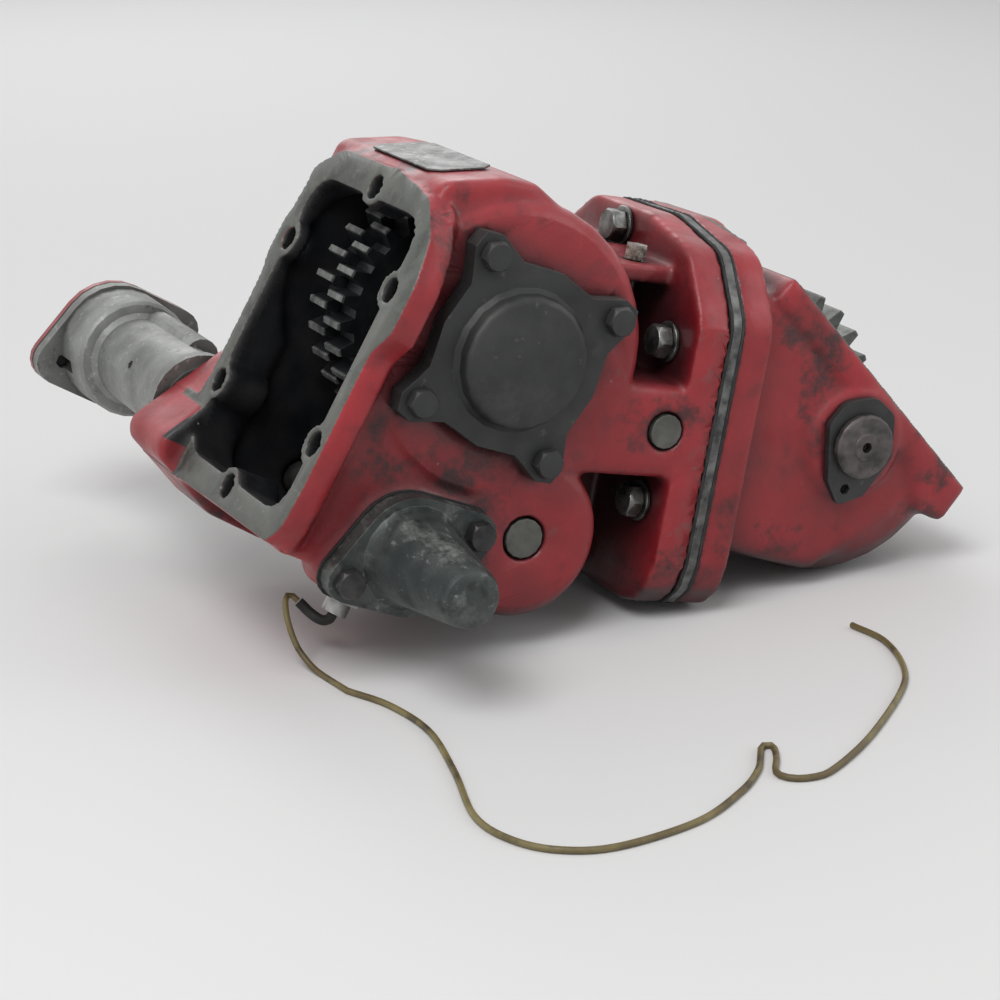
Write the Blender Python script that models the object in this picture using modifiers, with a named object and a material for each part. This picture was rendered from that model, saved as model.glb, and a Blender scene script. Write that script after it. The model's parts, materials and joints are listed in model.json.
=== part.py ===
"""Truck power take off unit: two gear housings, a gear train, a shift mechanism and an output flange.

Metres, +Z up. All shafts run along Y, with the front face of the main housing at y = 0 and the rear
towards +Y, while the pieces are made. In the end an empty that carries them all moves the model, so
that the origin lies at the middle of its footprint. Run with blender --background --python part.py.
"""
import math

import bmesh
import bpy
from mathutils import Matrix, Vector

# General
GAP = 0.0003
FINE_STEPS = 30
SMALL_STEPS = 14
BOLT_STEPS = 6
TWIST = math.radians(2.7)

# Gear train
OUTPUT_MODULE = 0.0036
OUTPUT_TEETH = 28
IDLER_SMALL_TEETH = 21
LAY_TEETH = 18
INPUT_MODULE = 0.00425
IDLER_LARGE_TEETH = 26
INPUT_TEETH = 25
PRESSURE_ANGLE = math.radians(20)
BACKLASH = 0.0003
OUTPUT_TOOTH_ANGLE = math.radians(129.9)
INPUT_TOOTH_ANGLE = math.radians(59.5)
IDLER_DIRECTION = math.radians(-29.8)
LAY_DIRECTION = math.radians(-85)
INPUT_DIRECTION = math.radians(-11.7)

# Gears along their shafts, front to rear
DRIVEN_FRONT = 0.0745
DRIVEN_WIDTH = 0.016
DOG_LENGTH = 0.006
DOG_COUNT = 4
DOG_INNER_R = 0.024
DOG_OUTER_R = 0.032
SLIDING_WIDTH = 0.0155
SLIDE_TRAVEL = 0.012
LARGE_IDLER_WIDTH = 0.019
INPUT_GEAR_FRONT = 0.086
INPUT_GEAR_WIDTH = 0.0245

# Main shaft
SHAFT_R = 0.0175
SPLINE_ROOT_R = 0.0152
SPLINE_COUNT = 6
JOURNAL_R = 0.015
BEARING_R = 0.031
BEARING_WIDTH = 0.016
FRONT_BEARING_FRONT = 0.0022
REAR_BEARING_FRONT = 0.1162

# Main housing
DRUM_R = 0.0655
DRUM_WALL = 0.008
DRUM_EDGE_R = 0.008
CASE_REAR = 0.125
FRONT_WALL = 0.012
CAVITY_REAR = 0.1118
REAR_BOSS_R = 0.0455
REAR_BOSS_END = 0.1385
LAY_BULGE_R = 0.037
LAY_BULGE_WALL = 0.006
LAY_CASE_START = 0.041
LAY_CASE_WALL = 0.0065
DRAIN_BOSS_R = 0.014

# Aperture face: its normal leans up to the left, and v runs up along the face
APERTURE_ANGLE = math.radians(150)
APERTURE_DISTANCE = 0.0644
APERTURE_FLANGE = 0.013
APERTURE_OUTLINE = (
    (-0.1130, -0.0010, 0.005), (-0.1040, -0.0080, 0.004), (-0.0860, -0.0100, 0.006),
    (-0.0240, -0.0100, 0.006), (-0.0140, -0.0190, 0.006), (0.0080, -0.0190, 0.008),
    (0.0280, -0.0125, 0.008), (0.0430, 0.0040, 0.008), (0.0490, 0.0400, 0.020),
    (0.0480, 0.0980, 0.010), (0.0360, 0.1185, 0.008), (-0.0600, 0.1190, 0.0),
    (-0.1000, 0.1230, 0.0), (-0.1150, 0.1150, 0.008),
)
OPENING_V = (-0.100, 0.033)
OPENING_Y = (0.0005, 0.109)
OPENING_CORNER = 0.014
OPENING_DEPTH = 0.024
HOLE_R = 0.00525
HOLE_BOSS_R = 0.0093
HOLE_DEPTH = 0.0115
APERTURE_HOLES = (
    (0.002, 0.0), (0.002, 0.109), (-0.068, 0.0), (-0.068, 0.109), (0.0378, 0.0545), (-0.1036, 0.0545),
)

# Joint between the housings: its normal leans down to the right, and w runs up along the joint
JOINT_ANGLE = math.radians(-11.2)
JOINT_FACE = 0.1060
GASKET = 0.0010
JOINT_PLATE = 0.0042
FLANGE_THICKNESS = 0.016
JOINT_OUTLINE = (
    (-0.1120, 0.0000, 0.024), (0.0220, 0.0000, 0.020), (0.0500, 0.0220, 0.018), (0.0590, 0.0620, 0.030),
    (0.0580, 0.1130, 0.012), (0.0400, 0.1370, 0.014), (-0.1120, 0.1370, 0.020),
)
JOINT_WINDOW_W = (-0.0885, 0.0325)
JOINT_BOLTS = (
    (0.0486, 0.0800), (0.0077, 0.0225), (-0.0646, 0.0212), (0.0077, 0.1270), (-0.0646, 0.1270),
    (-0.1010, 0.0720),
)
JOINT_BOLT_R = 0.005
JOINT_BOLT_LENGTH = 0.036

# Input housing: the mounting plate faces up to the right, and t runs down along it
PLATE_ANGLE = math.radians(41.3)
PLATE_FACE = 0.1210
PLATE_THICKNESS = 0.013
PLATE_T = (0.087, 0.237)
PLATE_Y = (0.012, 0.132)
PLATE_TIP_DROP = 0.0195
WINDOW_T = (0.1125, 0.2290)
WINDOW_Y = (0.0406, 0.1110)
INPUT_CAVITY_FRONT = 0.040
PLATE_HOLES = ((0.100, 0.050), (0.100, 0.100), (0.138, 0.025), (0.200, 0.025), (0.138, 0.122), (0.200, 0.122))
BELLY_R = 0.068
BELLY_WALL = 0.007
BELLY_FRONT = 0.034
INPUT_WALL_FRONT = 0.014
INPUT_REAR = 0.1175
PIN_BOSS_R = 0.026

# Pins
IDLER_PIN_R = 0.0078
LAY_PIN_R = 0.009
INPUT_PIN_R = 0.0125
INPUT_PIN_HEAD_R = 0.0152
INPUT_PIN_FRONT = 0.0015
KEEPER_THICKNESS = 0.0035

# Shift mechanism
RAIL_AXIS = (-0.050, -0.079)
RAIL_R = 0.0087
RAIL_FRONT = -0.006
ROD_AXIS = (-0.083, -0.050)
ROD_R = 0.006
CROSS_ARM_FRONT = 0.1335
CROSS_ARM_WIDTH = 0.009
CAP_LENGTH = 0.067
CAP_FLANGE = 0.009
CAP_BOLT_SPACING = 0.061
CAP_TILT = math.radians(11)
PAD_REAR = 0.150
NECK_R = 0.0215
NECK_STEP = 0.240
CYLINDER_R = 0.029
CYLINDER_BORE_R = 0.0245
CYLINDER_END = 0.275
CYLINDER_FLANGE = 0.007
END_PLATE = 0.004
EAR_SPACING = 0.058

# Front cover
COVER_PLATE = 0.008
COVER_DOME = 0.016
COVER_PLATE_R = 0.040
COVER_DOME_R = 0.0285
COVER_BOLT_R = 0.0474
COVER_BOLT_ANGLE = math.radians(14.7)
LOBE_R = 0.0105

# Output
REAR_COVER_R = 0.045
REAR_COVER_THICKNESS = 0.007
OUTPUT_FLANGE_R = 0.045
OUTPUT_FLANGE_FRONT = 0.154
OUTPUT_FLANGE_THICKNESS = 0.009
OUTPUT_BOLT_CIRCLE_R = 0.0345

REAR_BOLT_R = 0.0390
SEAL_R = 0.0320
HUB_R = 0.0240
HUB_BORE_R = 0.0140
SHAFT_FRONT = 0.0024
PIN_REAR = 0.1205
NECK_FOOT = 0.008
NECK_BOLT_R = 0.019

# Top face, drain, switch and breather
TOP_ANGLE = math.radians(88)
TOP_HEIGHT = 0.0739
FLOOR_LEVEL = -0.1348
DRAIN_Y = 0.078
SWITCH_SEAT = 0.118
BREATHER_SEAT = 0.039

# Loose wire, in the finished model's own coordinates
WIRE_R = 0.00135
SLEEVE_R = 0.0023
SLEEVE_ROUTE = (
    (-0.1315, -0.0782, 0.0209), (-0.1328, -0.0780, 0.0190), (-0.1359, -0.0768, 0.0185),
    (-0.1397, -0.0742, 0.0212), (-0.1439, -0.0708, 0.0262),
)
WIRE_ROUTE = (
    (-0.1442, -0.0705, 0.0266), (-0.1459, -0.0692, 0.0286), (-0.1484, -0.0694, 0.0296),
    (-0.1504, -0.0715, 0.0270), (-0.1509, -0.0750, 0.0200), (-0.1494, -0.0805, 0.0105),
    (-0.1464, -0.0870, 0.0040), (-0.1442, -0.0950, 0.0015),
    (-0.1416, -0.1172, 0.0015), (-0.1322, -0.1402, 0.0015), (-0.1292, -0.1722, 0.0015),
    (-0.1372, -0.2122, 0.0015), (-0.1482, -0.2532, 0.0015), (-0.1452, -0.2772, 0.0015),
    (-0.1332, -0.2932, 0.0015), (-0.1122, -0.3002, 0.0015), (-0.0752, -0.2942, 0.0015),
    (-0.0472, -0.2782, 0.0015), (-0.0312, -0.2642, 0.0015), (-0.0232, -0.2532, 0.0015),
    (-0.0182, -0.2457, 0.0015), (-0.0147, -0.2437, 0.0015), (-0.0132, -0.2472, 0.0015),
    (-0.0182, -0.2572, 0.0015), (-0.0252, -0.2682, 0.0015), (-0.0237, -0.2752, 0.0015),
    (-0.0162, -0.2787, 0.0015), (-0.0042, -0.2762, 0.0015), (0.0268, -0.2552, 0.0015),
    (0.0658, -0.2202, 0.0015), (0.0828, -0.1972, 0.0015), (0.0928, -0.1682, 0.0015),
    (0.0908, -0.1452, 0.0015),
)


def turned_to(angle, distance=0.0):
    """Frame on an inclined face: local x along the face, y along the shafts, z out of the face."""
    normal = Vector((math.cos(angle), 0.0, math.sin(angle)))
    along = Vector((math.sin(angle), 0.0, -math.cos(angle)))
    frame = Matrix((along, (0.0, 1.0, 0.0), normal)).transposed().to_4x4()
    return Matrix.Translation(normal * distance) @ frame


def facing_front(axis=(0.0, 0.0), y=0.0):
    """Frame seen from the front: local x to the right, y up, z towards the front."""
    return Matrix.Translation((axis[0], y, axis[1])) @ Matrix.Rotation(math.pi / 2, 4, "X")


APERTURE = turned_to(APERTURE_ANGLE)
JOINT = turned_to(JOINT_ANGLE)
PLATE = turned_to(PLATE_ANGLE)


def polar(centre, distance, direction):
    return (centre[0] + distance * math.cos(direction), centre[1] + distance * math.sin(direction))


MAIN_AXIS = (0.0, 0.0)
IDLER_AXIS = polar(MAIN_AXIS, OUTPUT_MODULE * (OUTPUT_TEETH + IDLER_SMALL_TEETH) / 2, IDLER_DIRECTION)
LAY_AXIS = polar(MAIN_AXIS, OUTPUT_MODULE * (OUTPUT_TEETH + LAY_TEETH) / 2, LAY_DIRECTION)
INPUT_AXIS = polar(IDLER_AXIS, INPUT_MODULE * (IDLER_LARGE_TEETH + INPUT_TEETH) / 2, INPUT_DIRECTION)

DRIVEN_REAR = DRIVEN_FRONT + DRIVEN_WIDTH
SLIDING_REAR = DRIVEN_FRONT - 2 * GAP
SLIDING_FRONT = SLIDING_REAR - SLIDING_WIDTH
LARGE_IDLER_FRONT = DRIVEN_REAR + 0.0008
LARGE_IDLER_REAR = LARGE_IDLER_FRONT + LARGE_IDLER_WIDTH
INPUT_GEAR_REAR = INPUT_GEAR_FRONT + INPUT_GEAR_WIDTH
PLATE_STACK = JOINT_FACE + GAP + GASKET + GAP + JOINT_PLATE + GAP + GASKET + GAP
BORE_R = DRUM_R - DRUM_WALL
FRONT_STACK = GAP + GASKET + GAP
REAR_BEARING_REAR = REAR_BEARING_FRONT + BEARING_WIDTH
REAR_COVER_REAR = REAR_BOSS_END + GAP + REAR_COVER_THICKNESS
OUTPUT_FLANGE_REAR = OUTPUT_FLANGE_FRONT + OUTPUT_FLANGE_THICKNESS
NUT_RECESS_R = 0.0200
NUT_RECESS = 0.0025
END_PLATE_REAR = CYLINDER_END + GAP + GASKET + GAP + END_PLATE
ARM_REAR = CROSS_ARM_FRONT + CROSS_ARM_WIDTH
CAP_BOTTOM = -FRONT_STACK - CAP_LENGTH + 0.004
KEEPER_FRONT = INPUT_PIN_FRONT + 0.0050
PIN_BOSS_FRONT = KEEPER_FRONT + KEEPER_THICKNESS + GAP

SWITCH = turned_to(APERTURE_ANGLE + math.pi / 2)
SWITCH_SPOT = (0.0038, 0.030)
BREATHER = turned_to(JOINT_ANGLE + math.pi / 2)
BREATHER_SPOT = (0.078, 0.045)


def tip_radius(module, teeth):
    return module * (teeth + 2) / 2


# Scene and materials
def clear_scene():
    for item in list(bpy.data.objects):
        bpy.data.objects.remove(item, do_unlink=True)


def new_collection(name, hidden=False):
    collection = bpy.data.collections.new(name)
    bpy.context.scene.collection.children.link(collection)
    collection.hide_render = hidden
    return collection


clear_scene()
PARTS = new_collection("power_take_off_unit")
CUTTERS = new_collection("cutters", hidden=True)
ORIGIN = bpy.data.objects.new("model_origin", None)
PARTS.objects.link(ORIGIN)


def new_material(name, colour, roughness, metallic):
    material = bpy.data.materials.new(name)
    material.use_nodes = True
    shader = material.node_tree.nodes["Principled BSDF"]
    shader.inputs["Base Color"].default_value = (*colour, 1.0)
    shader.inputs["Roughness"].default_value = roughness
    shader.inputs["Metallic"].default_value = metallic
    return material


RED_PAINT = new_material("red_paint", (0.36, 0.02, 0.03), 0.45, 0.0)
BLACK_PAINT = new_material("black_paint", (0.03, 0.032, 0.033), 0.6, 0.0)
CAST_ALUMINIUM = new_material("cast_aluminium", (0.23, 0.24, 0.23), 0.55, 0.6)
WORN_CAP = new_material("worn_cap", (0.12, 0.14, 0.14), 0.5, 0.3)
GEAR_STEEL = new_material("gear_steel", (0.22, 0.21, 0.19), 0.35, 0.9)
DARK_STEEL = new_material("dark_steel", (0.06, 0.06, 0.065), 0.4, 0.7)
BRIGHT_STEEL = new_material("bright_steel", (0.4, 0.4, 0.4), 0.3, 0.9)
GASKET_BLACK = new_material("gasket_black", (0.015, 0.015, 0.015), 0.8, 0.0)
SILVER_PLATE = new_material("silver_plate", (0.5, 0.5, 0.5), 0.35, 0.8)
WIRE_SHEATH = new_material("wire_sheath", (0.25, 0.19, 0.1), 0.5, 0.0)


# Modelling helpers
def place(item, frame, material):
    """Give an object its frame, its parent and its material."""
    item.parent = ORIGIN
    item.matrix_local = frame
    item.data.materials.clear()
    item.data.materials.append(material)
    if item.type == "MESH":
        item.data.shade_smooth()
        item.data.set_sharp_from_angle(angle=math.radians(35))
    return item


def welded_mesh(curve_object, name):
    """Mesh of a curve object, with its caps welded to its sides."""
    bpy.context.view_layer.update()
    evaluated = curve_object.evaluated_get(bpy.context.evaluated_depsgraph_get())
    mesh = bpy.data.meshes.new_from_object(evaluated)
    mesh.name = name
    body = bmesh.new()
    body.from_mesh(mesh)
    bmesh.ops.remove_doubles(body, verts=body.verts, dist=0.000002)
    bmesh.ops.recalc_face_normals(body, faces=body.faces)
    body.to_mesh(mesh)
    body.free()
    return mesh


def extruded(name, loops, low, high, frame, material=RED_PAINT, collection=None):
    """Flat outline, with holes as further loops, extruded from low to high along the frame's z."""
    curve = bpy.data.curves.new(name, "CURVE")
    curve.dimensions = "2D"
    curve.fill_mode = "BOTH"
    curve.extrude = (high - low) / 2
    for loop in loops:
        spline = curve.splines.new("POLY")
        spline.points.add(len(loop) - 1)
        for point, (x, y) in zip(spline.points, loop):
            point.co = (x, y, 0.0, 1.0)
        spline.use_cyclic_u = True
    outline = bpy.data.objects.new(name + "_outline", curve)
    PARTS.objects.link(outline)
    mesh = welded_mesh(outline, name)
    bpy.data.objects.remove(outline, do_unlink=True)
    item = bpy.data.objects.new(name, mesh)
    (collection or PARTS).objects.link(item)
    return place(item, frame @ Matrix.Translation((0.0, 0.0, (low + high) / 2)), material)


def turned(name, profile, axis, material=RED_PAINT, closed=False, steps=FINE_STEPS, collection=None, twist=0.0):
    """Turned piece about a line along Y: profile points are (radius, y), from front to rear."""
    mesh = bpy.data.meshes.new(name)
    points = [(radius, 0.0, -y) for radius, y in profile]
    edges = [(i, i + 1) for i in range(len(points) - 1)]
    if closed:
        edges.append((len(points) - 1, 0))
    mesh.from_pydata(points, edges, [])
    item = bpy.data.objects.new(name, mesh)
    (collection or PARTS).objects.link(item)
    screw = item.modifiers.new("turn", "SCREW")
    screw.axis = "Z"
    screw.angle = 2 * math.pi
    screw.steps = steps
    screw.render_steps = steps
    screw.use_merge_vertices = True
    screw.merge_threshold = 0.00001
    return place(item, facing_front(axis) @ Matrix.Rotation(twist, 4, "Z"), material)


def lofted(name, rings, frame, material=RED_PAINT, collection=None):
    """Closed body through rings of equally many points, such as a bolt or a tapered block."""
    body = bmesh.new()
    loops = [[body.verts.new(point) for point in ring] for ring in rings]
    body.faces.new(reversed(loops[0]))
    body.faces.new(loops[-1])
    for lower, upper in zip(loops, loops[1:]):
        count = len(lower)
        for i in range(count):
            j = (i + 1) % count
            body.faces.new((lower[i], lower[j], upper[j], upper[i]))
    bmesh.ops.recalc_face_normals(body, faces=body.faces)
    mesh = bpy.data.meshes.new(name)
    body.to_mesh(mesh)
    body.free()
    item = bpy.data.objects.new(name, mesh)
    (collection or PARTS).objects.link(item)
    return place(item, frame, material)


def combine(target, tool, operation):
    modifier = target.modifiers.new(operation.lower(), "BOOLEAN")
    modifier.operation = operation
    modifier.solver = "EXACT"
    modifier.object = tool
    tool.display_type = "WIRE"
    tool.hide_render = True
    for collection in list(tool.users_collection):
        collection.objects.unlink(tool)
    CUTTERS.objects.link(tool)


def join(target, *tools):
    for tool in tools:
        combine(target, tool, "UNION")


def cut(target, *tools):
    for tool in tools:
        combine(target, tool, "DIFFERENCE")


def edge_rounded(item, width, segments=2, angle=40):
    bevel = item.modifiers.new("round_edges", "BEVEL")
    bevel.width = width
    bevel.segments = segments
    bevel.limit_method = "ANGLE"
    bevel.angle_limit = math.radians(angle)
    return item


def circle(radius, steps=SMALL_STEPS, centre=(0.0, 0.0), start=0.0):
    return [polar(centre, radius, start + 2 * math.pi * i / steps) for i in range(steps)]


def hole(radius, steps=SMALL_STEPS, centre=(0.0, 0.0), start=0.0):
    """Outline of a round hole, whose flats stay outside the stated radius."""
    return circle(radius / math.cos(math.pi / steps), steps, centre, start)


def filleted(corners, steps=4):
    """Closed outline through (x, y, radius) corners, each rounded by an arc of its radius."""
    outline = []
    for i, (x, y, radius) in enumerate(corners):
        here = Vector((x, y))
        before = (Vector(corners[i - 1][:2]) - here).normalized()
        after = (Vector(corners[(i + 1) % len(corners)][:2]) - here).normalized()
        half = before.angle(after) / 2
        if radius == 0.0 or half > math.radians(89):
            outline.append(tuple(here))
            continue
        reach = radius / math.tan(half)
        centre = here + (before + after).normalized() * (radius / math.sin(half))
        start = here + before * reach - centre
        sweep = start.angle_signed(here + after * reach - centre)
        for step in range(steps + 1):
            turn = Matrix.Rotation(-sweep * step / steps, 2)
            outline.append(tuple(centre + turn @ start))
    return outline


def rectangle(x_range, y_range, radius=0.0, steps=4):
    (x0, x1), (y0, y1) = x_range, y_range
    return filleted(((x0, y0, radius), (x1, y0, radius), (x1, y1, radius), (x0, y1, radius)), steps)


def grown(radius, margin=GAP):
    return radius + margin


def rod(name, radius, front, rear, axis, steps=SMALL_STEPS, collection=None, material=RED_PAINT, twist=TWIST):
    """Plain cylinder along Y. Its corners are turned a little, clear of those of turned pieces."""
    outline = circle(radius, steps, start=twist)
    return extruded(name, [outline], -rear, -front, facing_front(axis), material, collection)


def drill(target, radius, front, rear, axis, steps=SMALL_STEPS):
    """Bore along Y. Bores on one axis are each turned differently, so that no corners line up."""
    twist = TWIST * (1 + len(target.modifiers) % 7)
    clear = radius / math.cos(math.pi / steps)
    cut(target, rod(target.name + "_bore", clear, front, rear, axis, steps, CUTTERS, twist=twist))


def face_bore(target, frame, spot, radius, low, high, steps=10):
    """Bore square to an inclined face."""
    cut(target, extruded(target.name + "_hole", [hole(radius, steps, spot)], low, high, frame))


# Gears
def involute(angle):
    return math.tan(angle) - angle


def gear_outline(module, teeth, tooth_angle):
    """Outline of a spur gear, one tooth centred on tooth_angle. Flanks are chords of the involute."""
    pitch_r = module * teeth / 2
    base_r = pitch_r * math.cos(PRESSURE_ANGLE)
    tip_r = tip_radius(module, teeth) - GAP
    root_r = pitch_r - 1.25 * module
    half_pitch_angle = math.pi / (2 * teeth) - BACKLASH / (2 * pitch_r)

    def half_angle(radius):
        pressure = math.acos(min(1.0, base_r / radius))
        return half_pitch_angle + involute(PRESSURE_ANGLE) - involute(pressure)

    lower_r = max(base_r, root_r)
    flank = [(root_r, half_angle(lower_r) + 0.12 * half_pitch_angle), (tip_r, half_angle(tip_r))]
    outline = []
    for tooth in range(teeth):
        centre = tooth_angle + 2 * math.pi * tooth / teeth
        outline += [polar((0.0, 0.0), radius, centre - half) for radius, half in flank]
        outline += [polar((0.0, 0.0), radius, centre + half) for radius, half in reversed(flank)]
    return outline


def meshed_angle(angle, teeth, other_teeth, direction):
    """Tooth angle of the other gear, which lies in the given direction and meshes with the first."""
    return direction + math.pi + math.pi / other_teeth + (direction - angle) * teeth / other_teeth


def spline_outline(inner_r, outer_r, count, margin=0.0):
    """Outline of splines of the given radii, grown by a margin for the hub that slides on them."""
    outline = []
    half = math.pi / count / 2
    for i in range(count):
        centre = 2 * math.pi * i / count
        wide = half + margin / outer_r
        for radius, angle in ((inner_r, -wide), (outer_r, -wide), (outer_r, wide), (inner_r, wide)):
            outline.append(polar((0.0, 0.0), radius + margin, centre + angle))
    return outline


def gear(name, loops, front, rear, axis):
    return extruded(name, loops, -rear, -front, facing_front(axis), GEAR_STEEL)


def make_gears():
    small_angle = meshed_angle(OUTPUT_TOOTH_ANGLE, OUTPUT_TEETH, IDLER_SMALL_TEETH, IDLER_DIRECTION)
    large_angle = meshed_angle(INPUT_TOOTH_ANGLE, INPUT_TEETH, IDLER_LARGE_TEETH, INPUT_DIRECTION + math.pi)
    sliding_angle = OUTPUT_TOOTH_ANGLE + math.pi / OUTPUT_TEETH
    lay_angle = meshed_angle(sliding_angle, OUTPUT_TEETH, LAY_TEETH, LAY_DIRECTION)

    driven = gear("driven_gear", [gear_outline(OUTPUT_MODULE, OUTPUT_TEETH, OUTPUT_TOOTH_ANGLE),
                                  hole(grown(SHAFT_R))], DRIVEN_FRONT, DRIVEN_REAR, MAIN_AXIS)
    dog_arc = math.pi / DOG_COUNT
    pocket_arc = dog_arc + 2 * GAP / DOG_INNER_R
    for i in range(DOG_COUNT):
        pocket = sector(grown(DOG_INNER_R, -GAP), grown(DOG_OUTER_R, 5 * GAP), pocket_arc, 2 * dog_arc * i)
        cut(driven, extruded("dog_pocket", [pocket], -DRIVEN_FRONT - DOG_LENGTH - GAP,
                             -DRIVEN_FRONT + 0.001, facing_front()))

    sliding = gear("sliding_gear", [gear_outline(OUTPUT_MODULE, OUTPUT_TEETH, sliding_angle)], SLIDING_FRONT,
                   SLIDING_REAR, MAIN_AXIS)
    hub_front = SLIDING_FRONT - 0.016
    groove_front = SLIDING_FRONT - 0.0125
    groove_rear = SLIDING_FRONT - 0.0055
    hub_profile = ((0.0, hub_front), (0.030, hub_front), (0.030, groove_front), (0.025, groove_front),
                   (0.025, groove_rear), (0.030, groove_rear), (0.030, SLIDING_FRONT + 0.002),
                   (0.0, SLIDING_FRONT + 0.002))
    join(sliding, turned("fork_groove_hub", hub_profile, MAIN_AXIS, steps=20))
    for i in range(DOG_COUNT):
        lug = sector(DOG_INNER_R, DOG_OUTER_R, dog_arc, 2 * dog_arc * i)
        join(sliding, extruded("dog_lug", [lug], -SLIDING_REAR - DOG_LENGTH, -SLIDING_REAR + 0.002,
                               facing_front()))
    root_r = SPLINE_ROOT_R / math.cos(math.pi / SPLINE_COUNT / 2)
    splines = spline_outline(root_r, SHAFT_R, SPLINE_COUNT, GAP)
    cut(sliding, extruded("spline_bore", [splines], -SLIDING_REAR - 0.01, -hub_front + 0.01, facing_front()))

    idler = gear("idler_gear", [gear_outline(OUTPUT_MODULE, IDLER_SMALL_TEETH, small_angle)],
                 DRIVEN_FRONT, LARGE_IDLER_FRONT + 0.0005, IDLER_AXIS)
    join(idler, gear("idler_large_row", [gear_outline(INPUT_MODULE, IDLER_LARGE_TEETH, large_angle)],
                     LARGE_IDLER_FRONT, LARGE_IDLER_REAR, IDLER_AXIS))
    drill(idler, grown(IDLER_PIN_R), 0.0, 0.2, IDLER_AXIS)

    lay_front = SLIDING_FRONT - SLIDE_TRAVEL - 0.002
    lay = gear("lay_gear", [gear_outline(OUTPUT_MODULE, LAY_TEETH, lay_angle)], lay_front,
               SLIDING_REAR - 0.0005, LAY_AXIS)
    join(lay, rod("lay_hub", 0.0145, SLIDING_REAR - 0.005, CAVITY_REAR - 0.0004 - GAP, LAY_AXIS))
    drill(lay, grown(LAY_PIN_R), 0.0, 0.2, LAY_AXIS)

    wheel = gear("input_gear", [gear_outline(INPUT_MODULE, INPUT_TEETH, INPUT_TOOTH_ANGLE)], INPUT_GEAR_FRONT,
                 INPUT_GEAR_REAR, INPUT_AXIS)
    join(wheel, rod("input_hub", 0.0225, INPUT_CAVITY_FRONT + GAP, INPUT_GEAR_FRONT + 0.004, INPUT_AXIS))
    drill(wheel, grown(INPUT_PIN_R), 0.0, 0.2, INPUT_AXIS)


def sector(inner_r, outer_r, arc, centre_angle, steps=1):
    """Outline of a ring's sector."""
    start = centre_angle - arc / 2
    outer = [polar((0.0, 0.0), outer_r, start + arc * i / steps) for i in range(steps + 1)]
    inner = [polar((0.0, 0.0), inner_r, start + arc * i / steps) for i in range(steps + 1)]
    return outer + inner[::-1]


# Housings
def on_face(frame, along, out):
    """Point (x, z) at a place along an inclined face and a height out of it."""
    point = frame @ Vector((along, 0.0, out))
    return (point.x, point.z)


def rounded_edge(radius, front, edge, steps=3):
    """Profile points of a turned piece's rounded front edge."""
    turns = [math.pi / 2 * i / steps for i in range(steps + 1)]
    return [(radius - edge + edge * math.sin(a), front + edge - edge * math.cos(a)) for a in turns]


def joint_outline():
    return filleted([(-w, y, radius) for w, y, radius in JOINT_OUTLINE], 3)


def joint_window():
    return rectangle((-JOINT_WINDOW_W[1], -JOINT_WINDOW_W[0]), (0.0650, CAVITY_REAR), 0.004, 2)


def prism(name, outline, front, rear, material=RED_PAINT, collection=None):
    """Outline in the plane of x and z, extruded from front to rear along Y."""
    return extruded(name, [outline], -rear, -front, facing_front(), material, collection)


def cap_outline(margin=0.0, half_length=0.047, half_height=0.031, end_r=0.0095, side_r=0.024, tilt=CAP_TILT):
    """Two-bolt diamond outline about the origin, tilted."""
    corners = ((half_length, 0.0, end_r), (0.0, half_height, side_r), (-half_length, 0.0, end_r),
               (0.0, -half_height, side_r))
    grow = 1.0 + margin / half_height
    turn = Matrix.Rotation(tilt, 2)
    return [tuple(turn @ Vector(point) * grow) for point in filleted(corners, 5)]


def shifted(outline, axis):
    return [(x + axis[0], y + axis[1]) for x, y in outline]


def cap_bolt_spots():
    half = CAP_BOLT_SPACING / 2
    return [polar(RAIL_AXIS, side * half, CAP_TILT) for side in (1, -1)]


def ear_outline():
    return shifted(cap_outline(0.0, 0.049, 0.039, 0.011, 0.028, math.radians(8)), ROD_AXIS)


def ear_spots():
    return [polar(ROD_AXIS, side * EAR_SPACING / 2, math.radians(8)) for side in (1, -1)]


def arm_outline(rod_radius, rail_radius):
    """Rounded outline about the rod and the rail."""
    direction = math.atan2(ROD_AXIS[1] - RAIL_AXIS[1], ROD_AXIS[0] - RAIL_AXIS[0])
    outline = []
    for centre, radius, start in ((ROD_AXIS, rod_radius, direction - math.pi / 2),
                                  (RAIL_AXIS, rail_radius, direction + math.pi / 2)):
        outline += [polar(centre, radius, start + math.pi * i / 8) for i in range(9)]
    return outline


def make_main_housing():
    profile = [(0.0, 0.0)] + rounded_edge(DRUM_R, 0.0, DRUM_EDGE_R)
    profile += [(DRUM_R, CASE_REAR - 0.004), (DRUM_R - 0.004, CASE_REAR), (0.0, CASE_REAR)]
    housing = turned("main_housing", profile, MAIN_AXIS)
    add_aperture_box(housing)
    add_lower_case(housing)
    add_joint_side(housing)
    add_rear_bosses(housing)
    cut_main_cavities(housing)
    cut_main_bores(housing)
    return housing


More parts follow.
